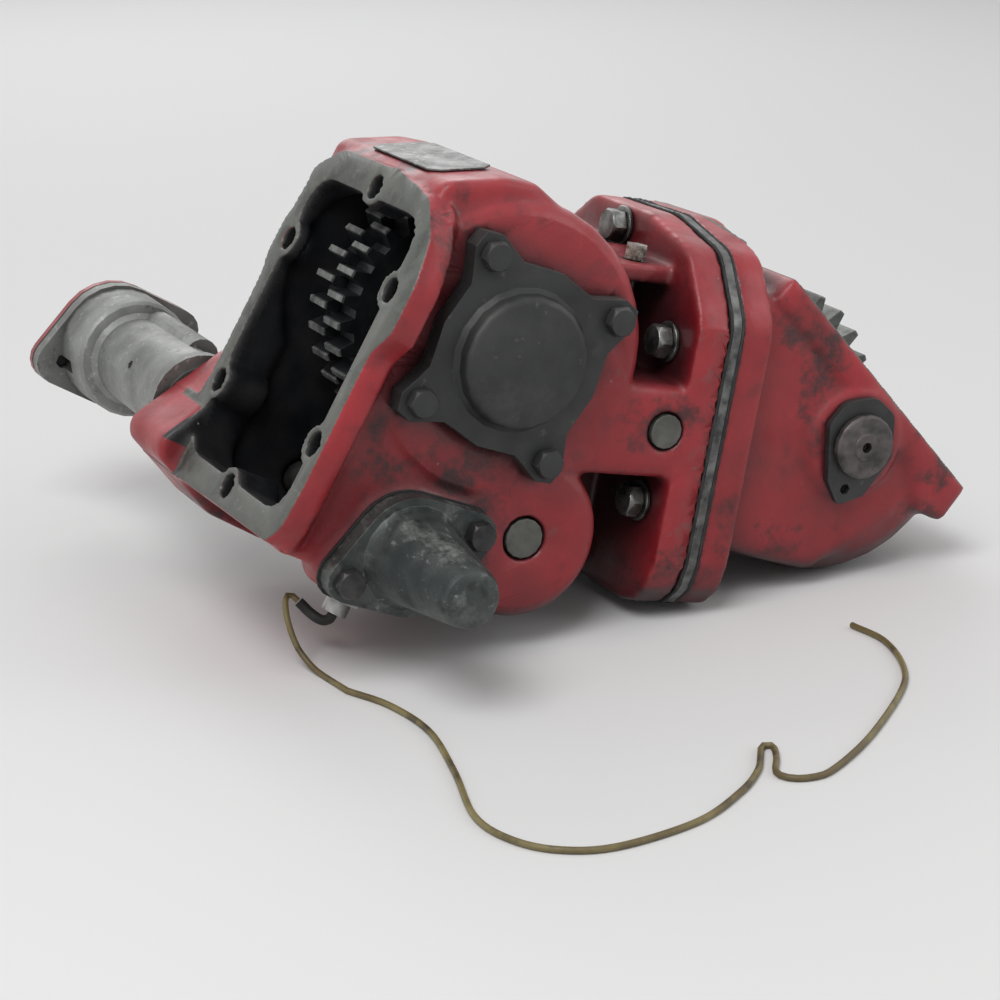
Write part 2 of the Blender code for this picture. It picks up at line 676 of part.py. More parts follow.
def add_aperture_box(housing):
    face = APERTURE_DISTANCE
    join(housing, extruded("aperture_flange", [filleted(APERTURE_OUTLINE, 2)], face - APERTURE_FLANGE, face,
                           APERTURE))
    rings = []
    for out, top, front in ((-0.022, -0.010, 0.002), (0.0462, 0.038, 0.001), (face - 0.009, 0.044, -0.0065)):
        rings.append([(v, y, out) for v, y in rectangle((-0.115, top), (front, 0.1165), 0.006, 2)])
    join(housing, lofted("aperture_neck", rings, APERTURE))
    top = turned_to(TOP_ANGLE)
    saddle = [on_face(APERTURE, 0.030, face - 0.004), on_face(top, -0.0300, TOP_HEIGHT),
              on_face(top, -0.0010, TOP_HEIGHT), on_face(top, 0.0140, TOP_HEIGHT - 0.0035),
              polar(MAIN_AXIS, DRUM_R - 0.0005, math.radians(63)), polar(MAIN_AXIS, 0.040, math.radians(30)),
              (-0.020, 0.020)]
    join(housing, edge_rounded(prism("saddle", saddle, 0.0046, 0.1180), 0.004, 2, 60))


def add_lower_case(housing):
    case_r = tip_radius(OUTPUT_MODULE, LAY_TEETH) + 0.0022 + LAY_CASE_WALL
    front = 0.0003
    profile = [(0.0, front)] + rounded_edge(LAY_BULGE_R, front, 0.006, 2)
    profile += [(LAY_BULGE_R, LAY_CASE_START - 0.004), (case_r, LAY_CASE_START + 0.001), (case_r, 0.112),
                (case_r - 0.004, 0.116), (0.0, 0.116)]
    join(housing, turned("lay_case", profile, LAY_AXIS, steps=26, twist=TWIST * 2.5))
    sump = [(-0.064, -0.070), (-0.055, -0.1025), polar(LAY_AXIS, LAY_BULGE_R - 0.0005, math.radians(252)),
            (0.022, -0.088), (0.000, -0.040)]
    join(housing, edge_rounded(prism("sump", sump, 0.006, 0.114), 0.004, 2, 60))
    join(housing, prism("cap_pad", shifted(cap_outline(), RAIL_AXIS), 0.0001, 0.020))
    boss = extruded("drain_boss", [circle(DRAIN_BOSS_R, SMALL_STEPS, (-LAY_AXIS[0], DRAIN_Y))],
                    -LAY_AXIS[1] + 0.034, -FLOOR_LEVEL, turned_to(-math.pi / 2))
    join(housing, boss)
    join(housing, extruded("switch_boss", [circle(0.0125, SMALL_STEPS, SWITCH_SPOT)], 0.106, SWITCH_SEAT,
                           SWITCH))


def add_joint_side(housing):
    seat = JOINT_FACE - FLANGE_THICKNESS
    flange = extruded("joint_flange", [joint_outline()], seat, JOINT_FACE, JOINT)
    join(housing, edge_rounded(flange, 0.0015, 1))
    bar = extruded("pin_bar", [rectangle((0.0080, 0.0500), (0.0006, 0.066), 0.005, 2)], 0.040, seat + 0.002, JOINT)
    join(housing, bar)
    chamber = [on_face(JOINT, -0.042, 0.038), on_face(JOINT, -0.042, seat + 0.002),
               on_face(JOINT, 0.100, seat + 0.002), on_face(JOINT, 0.100, 0.060),
               on_face(JOINT, 0.076, 0.008), on_face(JOINT, 0.020, 0.010)]
    block = edge_rounded(prism("idler_chamber", chamber, 0.060, 0.1165), 0.005, 2, 60)
    for (w, y), radius in ((JOINT_BOLTS[0], 0.0108), (JOINT_BOLTS[5], 0.0128)):
        face_bore(block, JOINT, (-w, y), radius, seat - 0.014, seat + 0.01, 12)
    join(housing, block)
    shelf = extruded("shelf", [rectangle((-0.0390, -0.0310), (0.030, 0.0664))], 0.040, seat + 0.002, JOINT)
    join(housing, shelf)


def add_rear_bosses(housing):
    join(housing, rod("rear_bearing_boss", REAR_BOSS_R, 0.110, REAR_BOSS_END, MAIN_AXIS, FINE_STEPS))
    for axis, radius in ((IDLER_AXIS, 0.015), (LAY_AXIS, 0.015)):
        join(housing, rod("pin_boss", radius, 0.110, 0.1245, axis))
    pad = filleted(((-0.0720, -0.0235, 0.004), (-0.1180, -0.0500, 0.007), (-0.1195, -0.0580, 0.004),
                    (-0.0970, -0.0880, 0.010), (-0.0700, -0.1050, 0.012), (-0.0300, -0.1050, 0.012),
                    (-0.0200, -0.0580, 0.0), (-0.0450, -0.0280, 0.0)))
    join(housing, prism("cylinder_pad", pad, 0.1067, PAD_REAR))


def cut_main_cavities(housing):
    face = APERTURE_DISTANCE
    opening = rectangle(OPENING_V, OPENING_Y, OPENING_CORNER, 3)
    deeper = rectangle((OPENING_V[0] - 0.0007, OPENING_V[1] + 0.0007), (FRONT_WALL + 0.0004, 0.1084),
                       OPENING_CORNER, 3)
    mouths = []
    for outline, low, high, boss_r in ((opening, face - 0.0125, face + 0.01, HOLE_BOSS_R),
                                       (deeper, face - OPENING_DEPTH, face - 0.011, HOLE_BOSS_R + 0.0006)):
        mouth = extruded("aperture_mouth", [outline], low, high, APERTURE)
        for spot in APERTURE_HOLES:
            cut(mouth, extruded("hole_boss", [circle(boss_r, 12, spot)], low - 0.01, high + 0.01, APERTURE))
        mouths.append(mouth)
    chamber = rectangle((-0.1070, 0.0330), (FRONT_WALL + 0.001, CAVITY_REAR - 0.001), 0.008)
    cut(housing, extruded("fork_chamber", [chamber], -0.014, face - OPENING_DEPTH + 0.002, APERTURE))
    cut(housing, *mouths)
    drill(housing, BORE_R, FRONT_WALL, CAVITY_REAR, MAIN_AXIS, FINE_STEPS)
    drill(housing, LAY_BULGE_R - LAY_BULGE_WALL, FRONT_WALL + 0.0005, LAY_CASE_START + 0.002, LAY_AXIS, 22)
    drill(housing, tip_radius(OUTPUT_MODULE, LAY_TEETH) + 0.0022, LAY_CASE_START, CAVITY_REAR - 0.0004, LAY_AXIS,
          22)
    cut_idler_chamber(housing)
    cut(housing, prism("arm_chamber", arm_outline(0.0134, 0.0134), CROSS_ARM_FRONT - SLIDE_TRAVEL - 0.0007,
                       PAD_REAR + 0.01))


def cut_idler_chamber(housing):
    """Room for both rows of the idler, open through the joint."""
    small_r = tip_radius(OUTPUT_MODULE, IDLER_SMALL_TEETH) + 0.003
    large_r = tip_radius(INPUT_MODULE, IDLER_LARGE_TEETH) + 0.0024
    drill(housing, small_r, 0.0665, DRIVEN_REAR, IDLER_AXIS, 26)
    drill(housing, large_r, DRIVEN_REAR - 0.0035, CAVITY_REAR + 0.0004, IDLER_AXIS, 26)


def cut_main_bores(housing):
    face = APERTURE_DISTANCE
    for spot in APERTURE_HOLES:
        face_bore(housing, APERTURE, spot, HOLE_R, face - HOLE_DEPTH, face + 0.01)
    drill(housing, grown(BEARING_R), -0.01, FRONT_WALL + 0.01, MAIN_AXIS, FINE_STEPS)
    drill(housing, grown(BEARING_R), CAVITY_REAR - 0.01, REAR_BOSS_END + 0.01, MAIN_AXIS, FINE_STEPS)
    drill(housing, grown(IDLER_PIN_R), -0.01, PIN_REAR + GAP, IDLER_AXIS)
    drill(housing, grown(LAY_PIN_R), -0.01, PIN_REAR + GAP, LAY_AXIS, SMALL_STEPS - 2)
    drill(housing, grown(RAIL_R), -0.01, PAD_REAR - 0.01, RAIL_AXIS)
    for spot in cover_bolt_spots():
        drill(housing, 0.0043, -0.01, 0.017, spot, BOLT_STEPS)
    for spot in cap_bolt_spots():
        drill(housing, 0.0043, -0.01, 0.017, spot, BOLT_STEPS)
    for spot in rear_bolt_spots():
        drill(housing, 0.0033, REAR_BOSS_END - 0.014, REAR_BOSS_END + 0.01, spot, BOLT_STEPS)
    for spot in neck_bolt_spots():
        drill(housing, 0.0033, PAD_REAR - 0.012, PAD_REAR + 0.01, spot, BOLT_STEPS)
    for w, y in JOINT_BOLTS:
        face_bore(housing, JOINT, (-w, y), JOINT_BOLT_R + GAP, JOINT_FACE - FLANGE_THICKNESS - 0.002,
                  JOINT_FACE + 0.01, BOLT_STEPS)
    face_bore(housing, turned_to(-math.pi / 2), (-LAY_AXIS[0], DRAIN_Y), 0.0083, -FLOOR_LEVEL - 0.015,
              -FLOOR_LEVEL + 0.01)
    face_bore(housing, SWITCH, SWITCH_SPOT, 0.0058, 0.097, SWITCH_SEAT + 0.01)
    face_bore(housing, BREATHER, BREATHER_SPOT, 0.0033, BREATHER_SEAT - 0.006, BREATHER_SEAT + 0.01, BOLT_STEPS)


def make_input_housing():
    seat = PLATE_STACK
    right = seat + FLANGE_THICKNESS
    housing = extruded("input_housing", [joint_outline()], seat, right, JOINT)
    edge_rounded(housing, 0.0015, 1)
    body = [on_face(JOINT, -0.034, right - 0.004), on_face(JOINT, 0.083, right - 0.004), (0.1370, -0.1180),
            polar(INPUT_AXIS, BELLY_R - 0.004, math.radians(252)), polar(INPUT_AXIS, 0.050, math.radians(300)),
            on_face(PLATE, 0.215, 0.100), on_face(PLATE, 0.089, PLATE_FACE - 0.010)]
    join(housing, edge_rounded(prism("gear_case", body, INPUT_WALL_FRONT, INPUT_REAR), 0.006, 2, 50))
    belly = [(0.0, INPUT_WALL_FRONT + 0.0005), (0.044, INPUT_WALL_FRONT + 0.0005), (0.0560, 0.0180),
             (0.0635, 0.0245), (BELLY_R, BELLY_FRONT), (BELLY_R, INPUT_REAR - 0.006),
             (BELLY_R - 0.006, INPUT_REAR - 0.0005), (0.0, INPUT_REAR - 0.0005)]
    join(housing, turned("belly", belly, INPUT_AXIS))
    join(housing, mounting_plate())
    boss = rounded_edge(PIN_BOSS_R, PIN_BOSS_FRONT, 0.002, 1)
    join(housing, turned("input_pin_boss", [(0.0, PIN_BOSS_FRONT)] + boss + [(PIN_BOSS_R, 0.030), (0.0, 0.030)],
                         INPUT_AXIS, steps=SMALL_STEPS + 4, twist=TWIST * 3))
    join(housing, rod("input_pin_rear_boss", 0.019, 0.110, 0.1245, INPUT_AXIS))
    cut_input_cavities(housing)
    cut_input_bores(housing)
    return housing


def mounting_plate():
    low_t, high_t = PLATE_T
    under = PLATE_FACE - PLATE_THICKNESS
    milled = PLATE_FACE + 0.002
    section = [(low_t, milled), (high_t, milled), (high_t + 0.0025, PLATE_FACE - PLATE_TIP_DROP),
               (high_t - 0.0150, PLATE_FACE - 0.0255), (0.200, under), (low_t, under)]
    outline = [on_face(PLATE, t, out) for t, out in section]
    return edge_rounded(prism("mounting_plate", outline, *PLATE_Y), 0.002, 1, 50)


def cut_input_cavities(housing):
    above = rectangle((PLATE_T[0] - 0.006, PLATE_T[1] + 0.030), (-0.010, PLATE_Y[1] + 0.010))
    cut(housing, extruded("face_mill", [above], PLATE_FACE, PLATE_FACE + 0.070, PLATE))
    drill(housing, BELLY_R - BELLY_WALL, INPUT_CAVITY_FRONT, CAVITY_REAR, INPUT_AXIS, 27)
    cut_idler_chamber(housing)
    window = rectangle(WINDOW_T, WINDOW_Y, 0.010)
    cut(housing, extruded("plate_window", [window], 0.085, PLATE_FACE + 0.01, PLATE))


def cut_input_bores(housing):
    drill(housing, grown(INPUT_PIN_R), -0.01, PIN_REAR + GAP, INPUT_AXIS, SMALL_STEPS + 3)
    for w, y in JOINT_BOLTS:
        face_bore(housing, JOINT, (-w, y), JOINT_BOLT_R + GAP, PLATE_STACK - 0.01,
                  JOINT_FACE - FLANGE_THICKNESS + JOINT_BOLT_LENGTH + 0.001, BOLT_STEPS)
    for spot in PLATE_HOLES:
        face_bore(housing, PLATE, spot, HOLE_R, PLATE_FACE - 0.0115, PLATE_FACE + 0.01)
    for spot in keeper_screw_spots():
        drill(housing, 0.0023, 0.0, PIN_BOSS_FRONT + 0.009, spot, BOLT_STEPS)


def make_joint_stack():
    outline = joint_outline()
    holes = [hole(JOINT_BOLT_R + GAP, BOLT_STEPS, (-w, y)) for w, y in JOINT_BOLTS]
    level = JOINT_FACE + GAP
    for name, thickness, material in (("joint_gasket_main", GASKET, GASKET_BLACK),
                                      ("joint_plate", JOINT_PLATE, BRIGHT_STEEL),
                                      ("joint_gasket_input", GASKET, GASKET_BLACK)):
        extruded(name, [outline, joint_window()] + holes, level, level + thickness, JOINT, material)
        level += thickness + GAP


# Fasteners
def bolt(name, frame, radius, length, flats, head, washer_r=0.0, washer=0.0016, material=DARK_STEEL):
    """Hexagon bolt, with a washer if it has a radius, that sits on the frame's plane and points down."""
    def ring(size, z):
        return [(*polar((0.0, 0.0), size, math.radians(30 * i)), z) for i in range(12)]

    def hexagon(z):
        sizes = (flats / math.sqrt(3), flats / 2)
        return [(*polar((0.0, 0.0), sizes[i % 2], math.radians(30 * i)), z) for i in range(12)]

    rings = [ring(radius, -length), ring(radius, 0.0)]
    if washer_r:
        rings += [ring(washer_r, 0.0), ring(washer_r, washer)]
    else:
        washer = 0.0
    rings += [hexagon(washer), hexagon(washer + head)]
    return lofted(name, rings, frame @ Matrix.Translation((0.0, 0.0, GAP)), material)


def facing_rear(axis, y):
    return Matrix.Translation((axis[0], y, axis[1])) @ Matrix.Rotation(-math.pi / 2, 4, "X")


def cover_bolt_spots():
    return [polar(MAIN_AXIS, COVER_BOLT_R, COVER_BOLT_ANGLE + math.pi / 2 * i) for i in range(4)]


def rear_bolt_spots():
    return [polar(MAIN_AXIS, REAR_BOLT_R, math.radians(45 + 90 * i)) for i in range(4)]


def neck_bolt_spots():
    direction = math.atan2(ROD_AXIS[1] - RAIL_AXIS[1], ROD_AXIS[0] - RAIL_AXIS[0])
    return [polar(RAIL_AXIS, NECK_BOLT_R, direction + side * math.pi / 2) for side in (1, -1)]


def keeper_screw_spots():
    return [polar(INPUT_AXIS, 0.0215, math.radians(248))]


def make_bolts():
    for i, (w, y) in enumerate(JOINT_BOLTS):
        seat = JOINT @ Matrix.Translation((-w, y, JOINT_FACE - FLANGE_THICKNESS)) @ Matrix.Rotation(math.pi, 4, "X")
        bolt(f"joint_bolt_{i + 1}", seat, JOINT_BOLT_R, JOINT_BOLT_LENGTH, 0.0165, 0.0085, 0.0098,
             material=BRIGHT_STEEL)
    for i, spot in enumerate(cover_bolt_spots()):
        bolt(f"front_cover_bolt_{i + 1}", facing_front(spot, -FRONT_STACK - COVER_PLATE), 0.004, 0.024, 0.013,
             0.0055)
    for i, spot in enumerate(cap_bolt_spots()):
        bolt(f"shift_cap_bolt_{i + 1}", facing_front(spot, -FRONT_STACK - CAP_FLANGE), 0.004, 0.025, 0.013,
             0.0055)
    for i, spot in enumerate(rear_bolt_spots()):
        bolt(f"rear_cover_bolt_{i + 1}", facing_rear(spot, REAR_COVER_REAR), 0.003, 0.018, 0.010, 0.004)
    for i, spot in enumerate(ear_spots()):
        bolt(f"cylinder_bolt_{i + 1}", facing_rear(spot, END_PLATE_REAR), 0.003, 0.0095, 0.010, 0.004)
    for i, spot in enumerate(neck_bolt_spots()):
        bolt(f"neck_bolt_{i + 1}", facing_rear(spot, PAD_REAR + GAP + NECK_FOOT), 0.003, 0.018, 0.010, 0.004)


# Front cover and cap
def cover_outline():
    """Circle with four lobes, one for each bolt."""
    offsets = (-45, -25, -18, -13, -7, 0, 7, 13, 18, 25)
    lobe_height = COVER_BOLT_R + LOBE_R - COVER_PLATE_R
    outline = []
    for quarter in range(4):
        centre = COVER_BOLT_ANGLE + quarter * math.pi / 2
        for offset in offsets:
            bump = math.exp(-(abs(math.radians(offset)) / 0.218) ** 2.6)
            outline.append(polar(MAIN_AXIS, COVER_PLATE_R + lobe_height * bump, centre + math.radians(offset)))
    return outline


def make_front_cover():
    holes = [hole(0.0043, BOLT_STEPS, spot) for spot in cover_bolt_spots()]
    extruded("front_cover_gasket", [cover_outline(), circle(0.0315, SMALL_STEPS)] + holes, GAP, GAP + GASKET,
             facing_front(), GASKET_BLACK)
    cover = extruded("front_cover", [cover_outline()] + holes, FRONT_STACK, FRONT_STACK + COVER_PLATE,
                     facing_front(), BLACK_PAINT)
    front = -FRONT_STACK - COVER_DOME
    dome = [(0.0, front)] + rounded_edge(COVER_DOME_R, front, 0.003, 3)
    dome += [(COVER_DOME_R + 0.0005, -FRONT_STACK - COVER_PLATE - 0.002),
             (COVER_DOME_R + 0.003, -FRONT_STACK - COVER_PLATE + 0.0005), (0.0300, -FRONT_STACK - 0.001),
             (0.0300, FRONT_BEARING_FRONT - 2 * GAP), (0.0, FRONT_BEARING_FRONT - 2 * GAP)]
    join(cover, turned("cover_dome", dome, MAIN_AXIS, steps=20, twist=TWIST))


def make_shift_cap():
    holes = [hole(0.0043, BOLT_STEPS, spot) for spot in cap_bolt_spots()]
    bore = circle(0.0175, SMALL_STEPS, RAIL_AXIS)
    extruded("shift_cap_gasket", [shifted(cap_outline(0.001), RAIL_AXIS), bore] + holes, GAP, GAP + GASKET,
             facing_front(), GASKET_BLACK)
    cap = extruded("shift_cap", [shifted(cap_outline(), RAIL_AXIS)] + holes, FRONT_STACK,
                   FRONT_STACK + CAP_FLANGE, facing_front(), WORN_CAP)
    front = -FRONT_STACK - CAP_LENGTH
    cone = [(0.0, front), (0.0090, front), (0.0118, front + 0.0012), (0.0132, front + 0.0045),
            (0.0200, -FRONT_STACK - CAP_FLANGE - 0.004), (0.0235, -FRONT_STACK - CAP_FLANGE + 0.001),
            (0.0235, -FRONT_STACK - 0.001), (0.0, -FRONT_STACK - 0.001)]
    join(cap, turned("cap_cone", cone, RAIL_AXIS, steps=20, twist=TWIST))
    hollow = [(0.0, CAP_BOTTOM), (0.0112, CAP_BOTTOM), (0.0165, 0.01), (0.0, 0.01)]
    cut(cap, turned("cap_hollow", hollow, RAIL_AXIS, steps=SMALL_STEPS))


def coil(name, radius, wire_r, front, rear, turns, axis, material):
    """Spring along Y, with the closed end turns lying flat."""
    curve = bpy.data.curves.new(name, "CURVE")
    curve.dimensions = "3D"
    curve.bevel_depth = wire_r
    curve.bevel_resolution = 0
    curve.use_fill_caps = True
    per_turn = 10
    count = int((turns + 2) * per_turn)
    spline = curve.splines.new("POLY")
    spline.points.add(count)
    for i in range(count + 1):
        turn = i / per_turn
        lead = min(max((turn - 1) / turns, 0.0), 1.0)
        closed = min(turn, 1.0) + max(turn - 1 - turns, 0.0)
        reach = 2.1 * wire_r
        y = front + wire_r + closed * reach + lead * (rear - front - 2 * wire_r - 2 * reach)
        x, z = polar(axis, radius, 2 * math.pi * turn)
        spline.points[i].co = (x, y, z, 1.0)
    spring = bpy.data.objects.new(name, curve)
    PARTS.objects.link(spring)
    return place(spring, Matrix.Identity(4), material)


# Shafts, pins and bearings
def make_shafts():
    spline_end = SLIDING_REAR + GAP
    nut_seat = OUTPUT_FLANGE_REAR - NUT_RECESS
    profile = [(0.0, SHAFT_FRONT), (JOURNAL_R, SHAFT_FRONT), (JOURNAL_R, 0.0200), (SPLINE_ROOT_R, 0.0200),
               (SPLINE_ROOT_R, spline_end), (SHAFT_R, spline_end), (SHAFT_R, DRIVEN_REAR + GAP), (0.0205, DRIVEN_REAR + GAP),
               (0.0205, REAR_BEARING_FRONT - GAP), (JOURNAL_R, REAR_BEARING_FRONT - GAP),
               (JOURNAL_R, REAR_BEARING_REAR + GAP), (HUB_BORE_R, REAR_BEARING_REAR + GAP),
               (HUB_BORE_R, nut_seat - 0.001), (0.0100, nut_seat - 0.001),
               (0.0100, OUTPUT_FLANGE_REAR + 0.0135), (0.0, OUTPUT_FLANGE_REAR + 0.0150)]
    shaft = turned("main_shaft", profile, MAIN_AXIS, GEAR_STEEL, steps=18)
    splines = spline_outline(SPLINE_ROOT_R - 0.002, SHAFT_R, SPLINE_COUNT)
    join(shaft, extruded("splines", [splines], -DRIVEN_FRONT - 0.001, -0.0210, facing_front()))

    for name, radius, axis in (("idler_pin", IDLER_PIN_R, IDLER_AXIS), ("lay_pin", LAY_PIN_R, LAY_AXIS)):
        rod(name, radius, 0.0004, PIN_REAR, axis, material=GEAR_STEEL)

    front = INPUT_PIN_FRONT
    head_rear = KEEPER_FRONT - GAP
    profile = [(0.0, front + 0.0045), (0.0024, front + 0.0045), (0.0024, front), (0.0062, front),
               (0.0067, front + 0.0008), (0.0140, front + 0.0008), (INPUT_PIN_HEAD_R, front + 0.0018),
               (INPUT_PIN_HEAD_R, head_rear), (INPUT_PIN_R, head_rear), (INPUT_PIN_R, PIN_REAR),
               (0.0, PIN_REAR)]
    turned("input_pin", profile, INPUT_AXIS, DARK_STEEL, steps=18)
    corners = ((-0.0175, 0.0120, 0.006), (-0.0175, -0.0150, 0.004), (-0.0120, -0.0270, 0.003),
               (0.0020, -0.0245, 0.004), (0.0170, -0.0080, 0.006), (0.0180, 0.0120, 0.006),
               (0.0080, 0.0215, 0.008), (-0.0080, 0.0215, 0.008))
    screws = [hole(0.0023, BOLT_STEPS, spot) for spot in keeper_screw_spots()]
    loops = [shifted(filleted(corners), INPUT_AXIS), hole(grown(INPUT_PIN_R), SMALL_STEPS, INPUT_AXIS)]
    extruded("pin_keeper", loops + screws, -KEEPER_FRONT - KEEPER_THICKNESS, -KEEPER_FRONT, facing_front(),
             DARK_STEEL)


def bearing(name, front):
    rear = front + BEARING_WIDTH
    inner, outer, dip = JOURNAL_R + GAP, BEARING_R, 0.001
    profile = [(inner, front), (inner + 0.004, front), (inner + 0.0045, front + dip),
               (outer - 0.0045, front + dip), (outer - 0.004, front), (outer, front), (outer, rear),
               (inner, rear)]
    return turned(name, profile, MAIN_AXIS, BRIGHT_STEEL, closed=True, steps=20)


def make_output():
    rear_face = REAR_BOSS_END + GAP
    holes = [hole(0.0033, BOLT_STEPS, spot) for spot in rear_bolt_spots()]
    extruded("rear_cover", [circle(REAR_COVER_R, FINE_STEPS), hole(SEAL_R + GAP, 24)] + holes,
             -REAR_COVER_REAR, -rear_face, facing_front(), BLACK_PAINT)
    seal = [(HUB_R + GAP, rear_face), (SEAL_R, rear_face), (SEAL_R, REAR_COVER_REAR - 0.0005),
            (HUB_R + 0.0025, REAR_COVER_REAR - 0.0005), (HUB_R + GAP, REAR_COVER_REAR - 0.0020)]
    turned("shaft_seal", seal, MAIN_AXIS, GASKET_BLACK, closed=True, steps=24)
    front = REAR_BEARING_REAR + 2 * GAP
    nut_seat = OUTPUT_FLANGE_REAR - NUT_RECESS
    profile = [(HUB_BORE_R + GAP, front), (HUB_R, front), (HUB_R, OUTPUT_FLANGE_FRONT),
               (OUTPUT_FLANGE_R, OUTPUT_FLANGE_FRONT), (OUTPUT_FLANGE_R, OUTPUT_FLANGE_REAR - 0.001),
               (OUTPUT_FLANGE_R - 0.001, OUTPUT_FLANGE_REAR), (NUT_RECESS_R, OUTPUT_FLANGE_REAR),
               (NUT_RECESS_R, nut_seat), (HUB_BORE_R + GAP, nut_seat)]
    flange = turned("output_flange", profile, MAIN_AXIS, DARK_STEEL, closed=True, steps=28)
    for i in range(4):
        drill(flange, 0.0042, 0.14, 0.18, polar(MAIN_AXIS, OUTPUT_BOLT_CIRCLE_R, math.pi / 2 * i), 8)
    nut = [polar(MAIN_AXIS, 0.030 / math.sqrt(3), math.radians(60 * i)) for i in range(6)]
    extruded("flange_nut", [nut, hole(0.0103)], -nut_seat - GAP - 0.0120, -nut_seat - GAP,
             facing_front(), BRIGHT_STEEL)


# Shift mechanism
def make_shift_parts():
    rail = [(0.0, RAIL_FRONT), (RAIL_R - 0.001, RAIL_FRONT), (RAIL_R, RAIL_FRONT + 0.001),
            (RAIL_R, ARM_REAR - 0.001), (RAIL_R - 0.001, ARM_REAR), (0.0, ARM_REAR)]
    turned("shift_rail", rail, RAIL_AXIS, BRIGHT_STEEL, steps=SMALL_STEPS)

    fork_rear = -(SLIDING_FRONT - 0.0059)
    fork_front = -(SLIDING_FRONT - 0.0121)
    towards = math.atan2(RAIL_AXIS[1], RAIL_AXIS[0])
    yoke = sector(0.0256, 0.0365, math.radians(200), towards, 14)
    fork = extruded("shift_fork", [yoke], fork_rear, fork_front, facing_front(), GEAR_STEEL)
    across = towards + math.pi / 2
    stem = []
    for distance, half in ((0.0320, 0.0130), (0.0550, 0.0070), (0.0930, 0.0090)):
        middle = polar(MAIN_AXIS, distance, towards)
        stem.append((polar(middle, half, across), polar(middle, -half, across)))
    outline = [left for left, right in stem] + [right for left, right in reversed(stem)]
    join(fork, extruded("fork_stem", [outline], fork_rear, fork_front, facing_front()))
    hub_front, hub_rear = -fork_front - 0.004, -fork_rear + 0.010
    join(fork, rod("fork_hub", 0.0130, hub_front, hub_rear, RAIL_AXIS))
    drill(fork, grown(RAIL_R), 0.0, 0.1, RAIL_AXIS)

    holes = [hole(grown(RAIL_R), SMALL_STEPS, RAIL_AXIS), hole(grown(ROD_R), SMALL_STEPS, ROD_AXIS)]
    extruded("cross_arm", [arm_outline(0.0125, 0.0125)] + holes, -ARM_REAR, -CROSS_ARM_FRONT, facing_front(),
             GEAR_STEEL)
    piston_front = CYLINDER_END - 0.019
    piston = [(0.0, CROSS_ARM_FRONT), (ROD_R, CROSS_ARM_FRONT), (ROD_R, piston_front),
              (CYLINDER_BORE_R - GAP, piston_front), (CYLINDER_BORE_R - GAP, piston_front + 0.003),
              (CYLINDER_BORE_R - 0.002, piston_front + 0.003), (CYLINDER_BORE_R - 0.002, piston_front + 0.006),
              (CYLINDER_BORE_R - GAP, piston_front + 0.006), (CYLINDER_BORE_R - GAP, piston_front + 0.009),
              (0.0, piston_front + 0.009)]
    turned("shift_piston", piston, ROD_AXIS, CAST_ALUMINIUM, steps=20)
    coil("return_spring", 0.0088, 0.0011, CAP_BOTTOM + GAP, RAIL_FRONT - GAP, 6, RAIL_AXIS, BRIGHT_STEEL)


def make_cylinder():
    front = PAD_REAR + GAP
    foot = arm_outline(0.0180, NECK_BOLT_R + 0.005)
    neck = prism("shift_cylinder", foot, front, front + NECK_FOOT, CAST_ALUMINIUM)
    body = [(0.0, front + 0.001), (NECK_R + 0.002, front + 0.001), (NECK_R + 0.002, front + NECK_FOOT),
            (NECK_R, front + NECK_FOOT + 0.002), (NECK_R - 0.0005, NECK_STEP - 0.002),
            (NECK_R + 0.002, NECK_STEP), (CYLINDER_R - 0.0015, NECK_STEP + 0.0003),
            (CYLINDER_R, NECK_STEP + 0.0018), (CYLINDER_R + 0.0005, CYLINDER_END - CYLINDER_FLANGE + 0.001),
            (0.0, CYLINDER_END - CYLINDER_FLANGE + 0.001)]
    join(neck, turned("neck_body", body, ROD_AXIS, steps=24))
    join(neck, prism("ear_flange", ear_outline(), CYLINDER_END - CYLINDER_FLANGE, CYLINDER_END))
    port = polar(ROD_AXIS, NECK_R - 0.003, math.radians(52))
    join(neck, rod("port_boss", 0.0085, PAD_REAR + 0.030, NECK_STEP + 0.004, port, 16))
    drill(neck, CYLINDER_BORE_R, NECK_STEP + 0.0035, CYLINDER_END + 0.01, ROD_AXIS, 24)
    drill(neck, ROD_R + 0.0006, 0.14, 0.27, ROD_AXIS, 12)
    drill(neck, 0.0033, 0.14, 0.17, neck_bolt_spots()[0], BOLT_STEPS)
    drill(neck, 0.0033, 0.14, 0.17, neck_bolt_spots()[1], BOLT_STEPS)
    for spot in ear_spots():
        drill(neck, 0.0033, CYLINDER_END - 0.02, CYLINDER_END + 0.01, spot, BOLT_STEPS)
    vent = turned_to(math.radians(150), 0.0)
    spot = (ROD_AXIS[0] * math.sin(math.radians(150)) - ROD_AXIS[1] * math.cos(math.radians(150)), 0.196)
    out = ROD_AXIS[0] * math.cos(math.radians(150)) + ROD_AXIS[1] * math.sin(math.radians(150))
    face_bore(neck, vent, spot, 0.002, out + NECK_R - 0.006, out + NECK_R + 0.01, 10)

    holes = [hole(0.0033, BOLT_STEPS, spot) for spot in ear_spots()]
    extruded("cylinder_gasket", [ear_outline(), circle(CYLINDER_BORE_R, 24, ROD_AXIS)] + holes,
             -CYLINDER_END - GAP - GASKET, -CYLINDER_END - GAP, facing_front(), GASKET_BLACK)
    extruded("cylinder_end_plate", [ear_outline()] + holes, -END_PLATE_REAR, -END_PLATE_REAR + END_PLATE,
             facing_front())


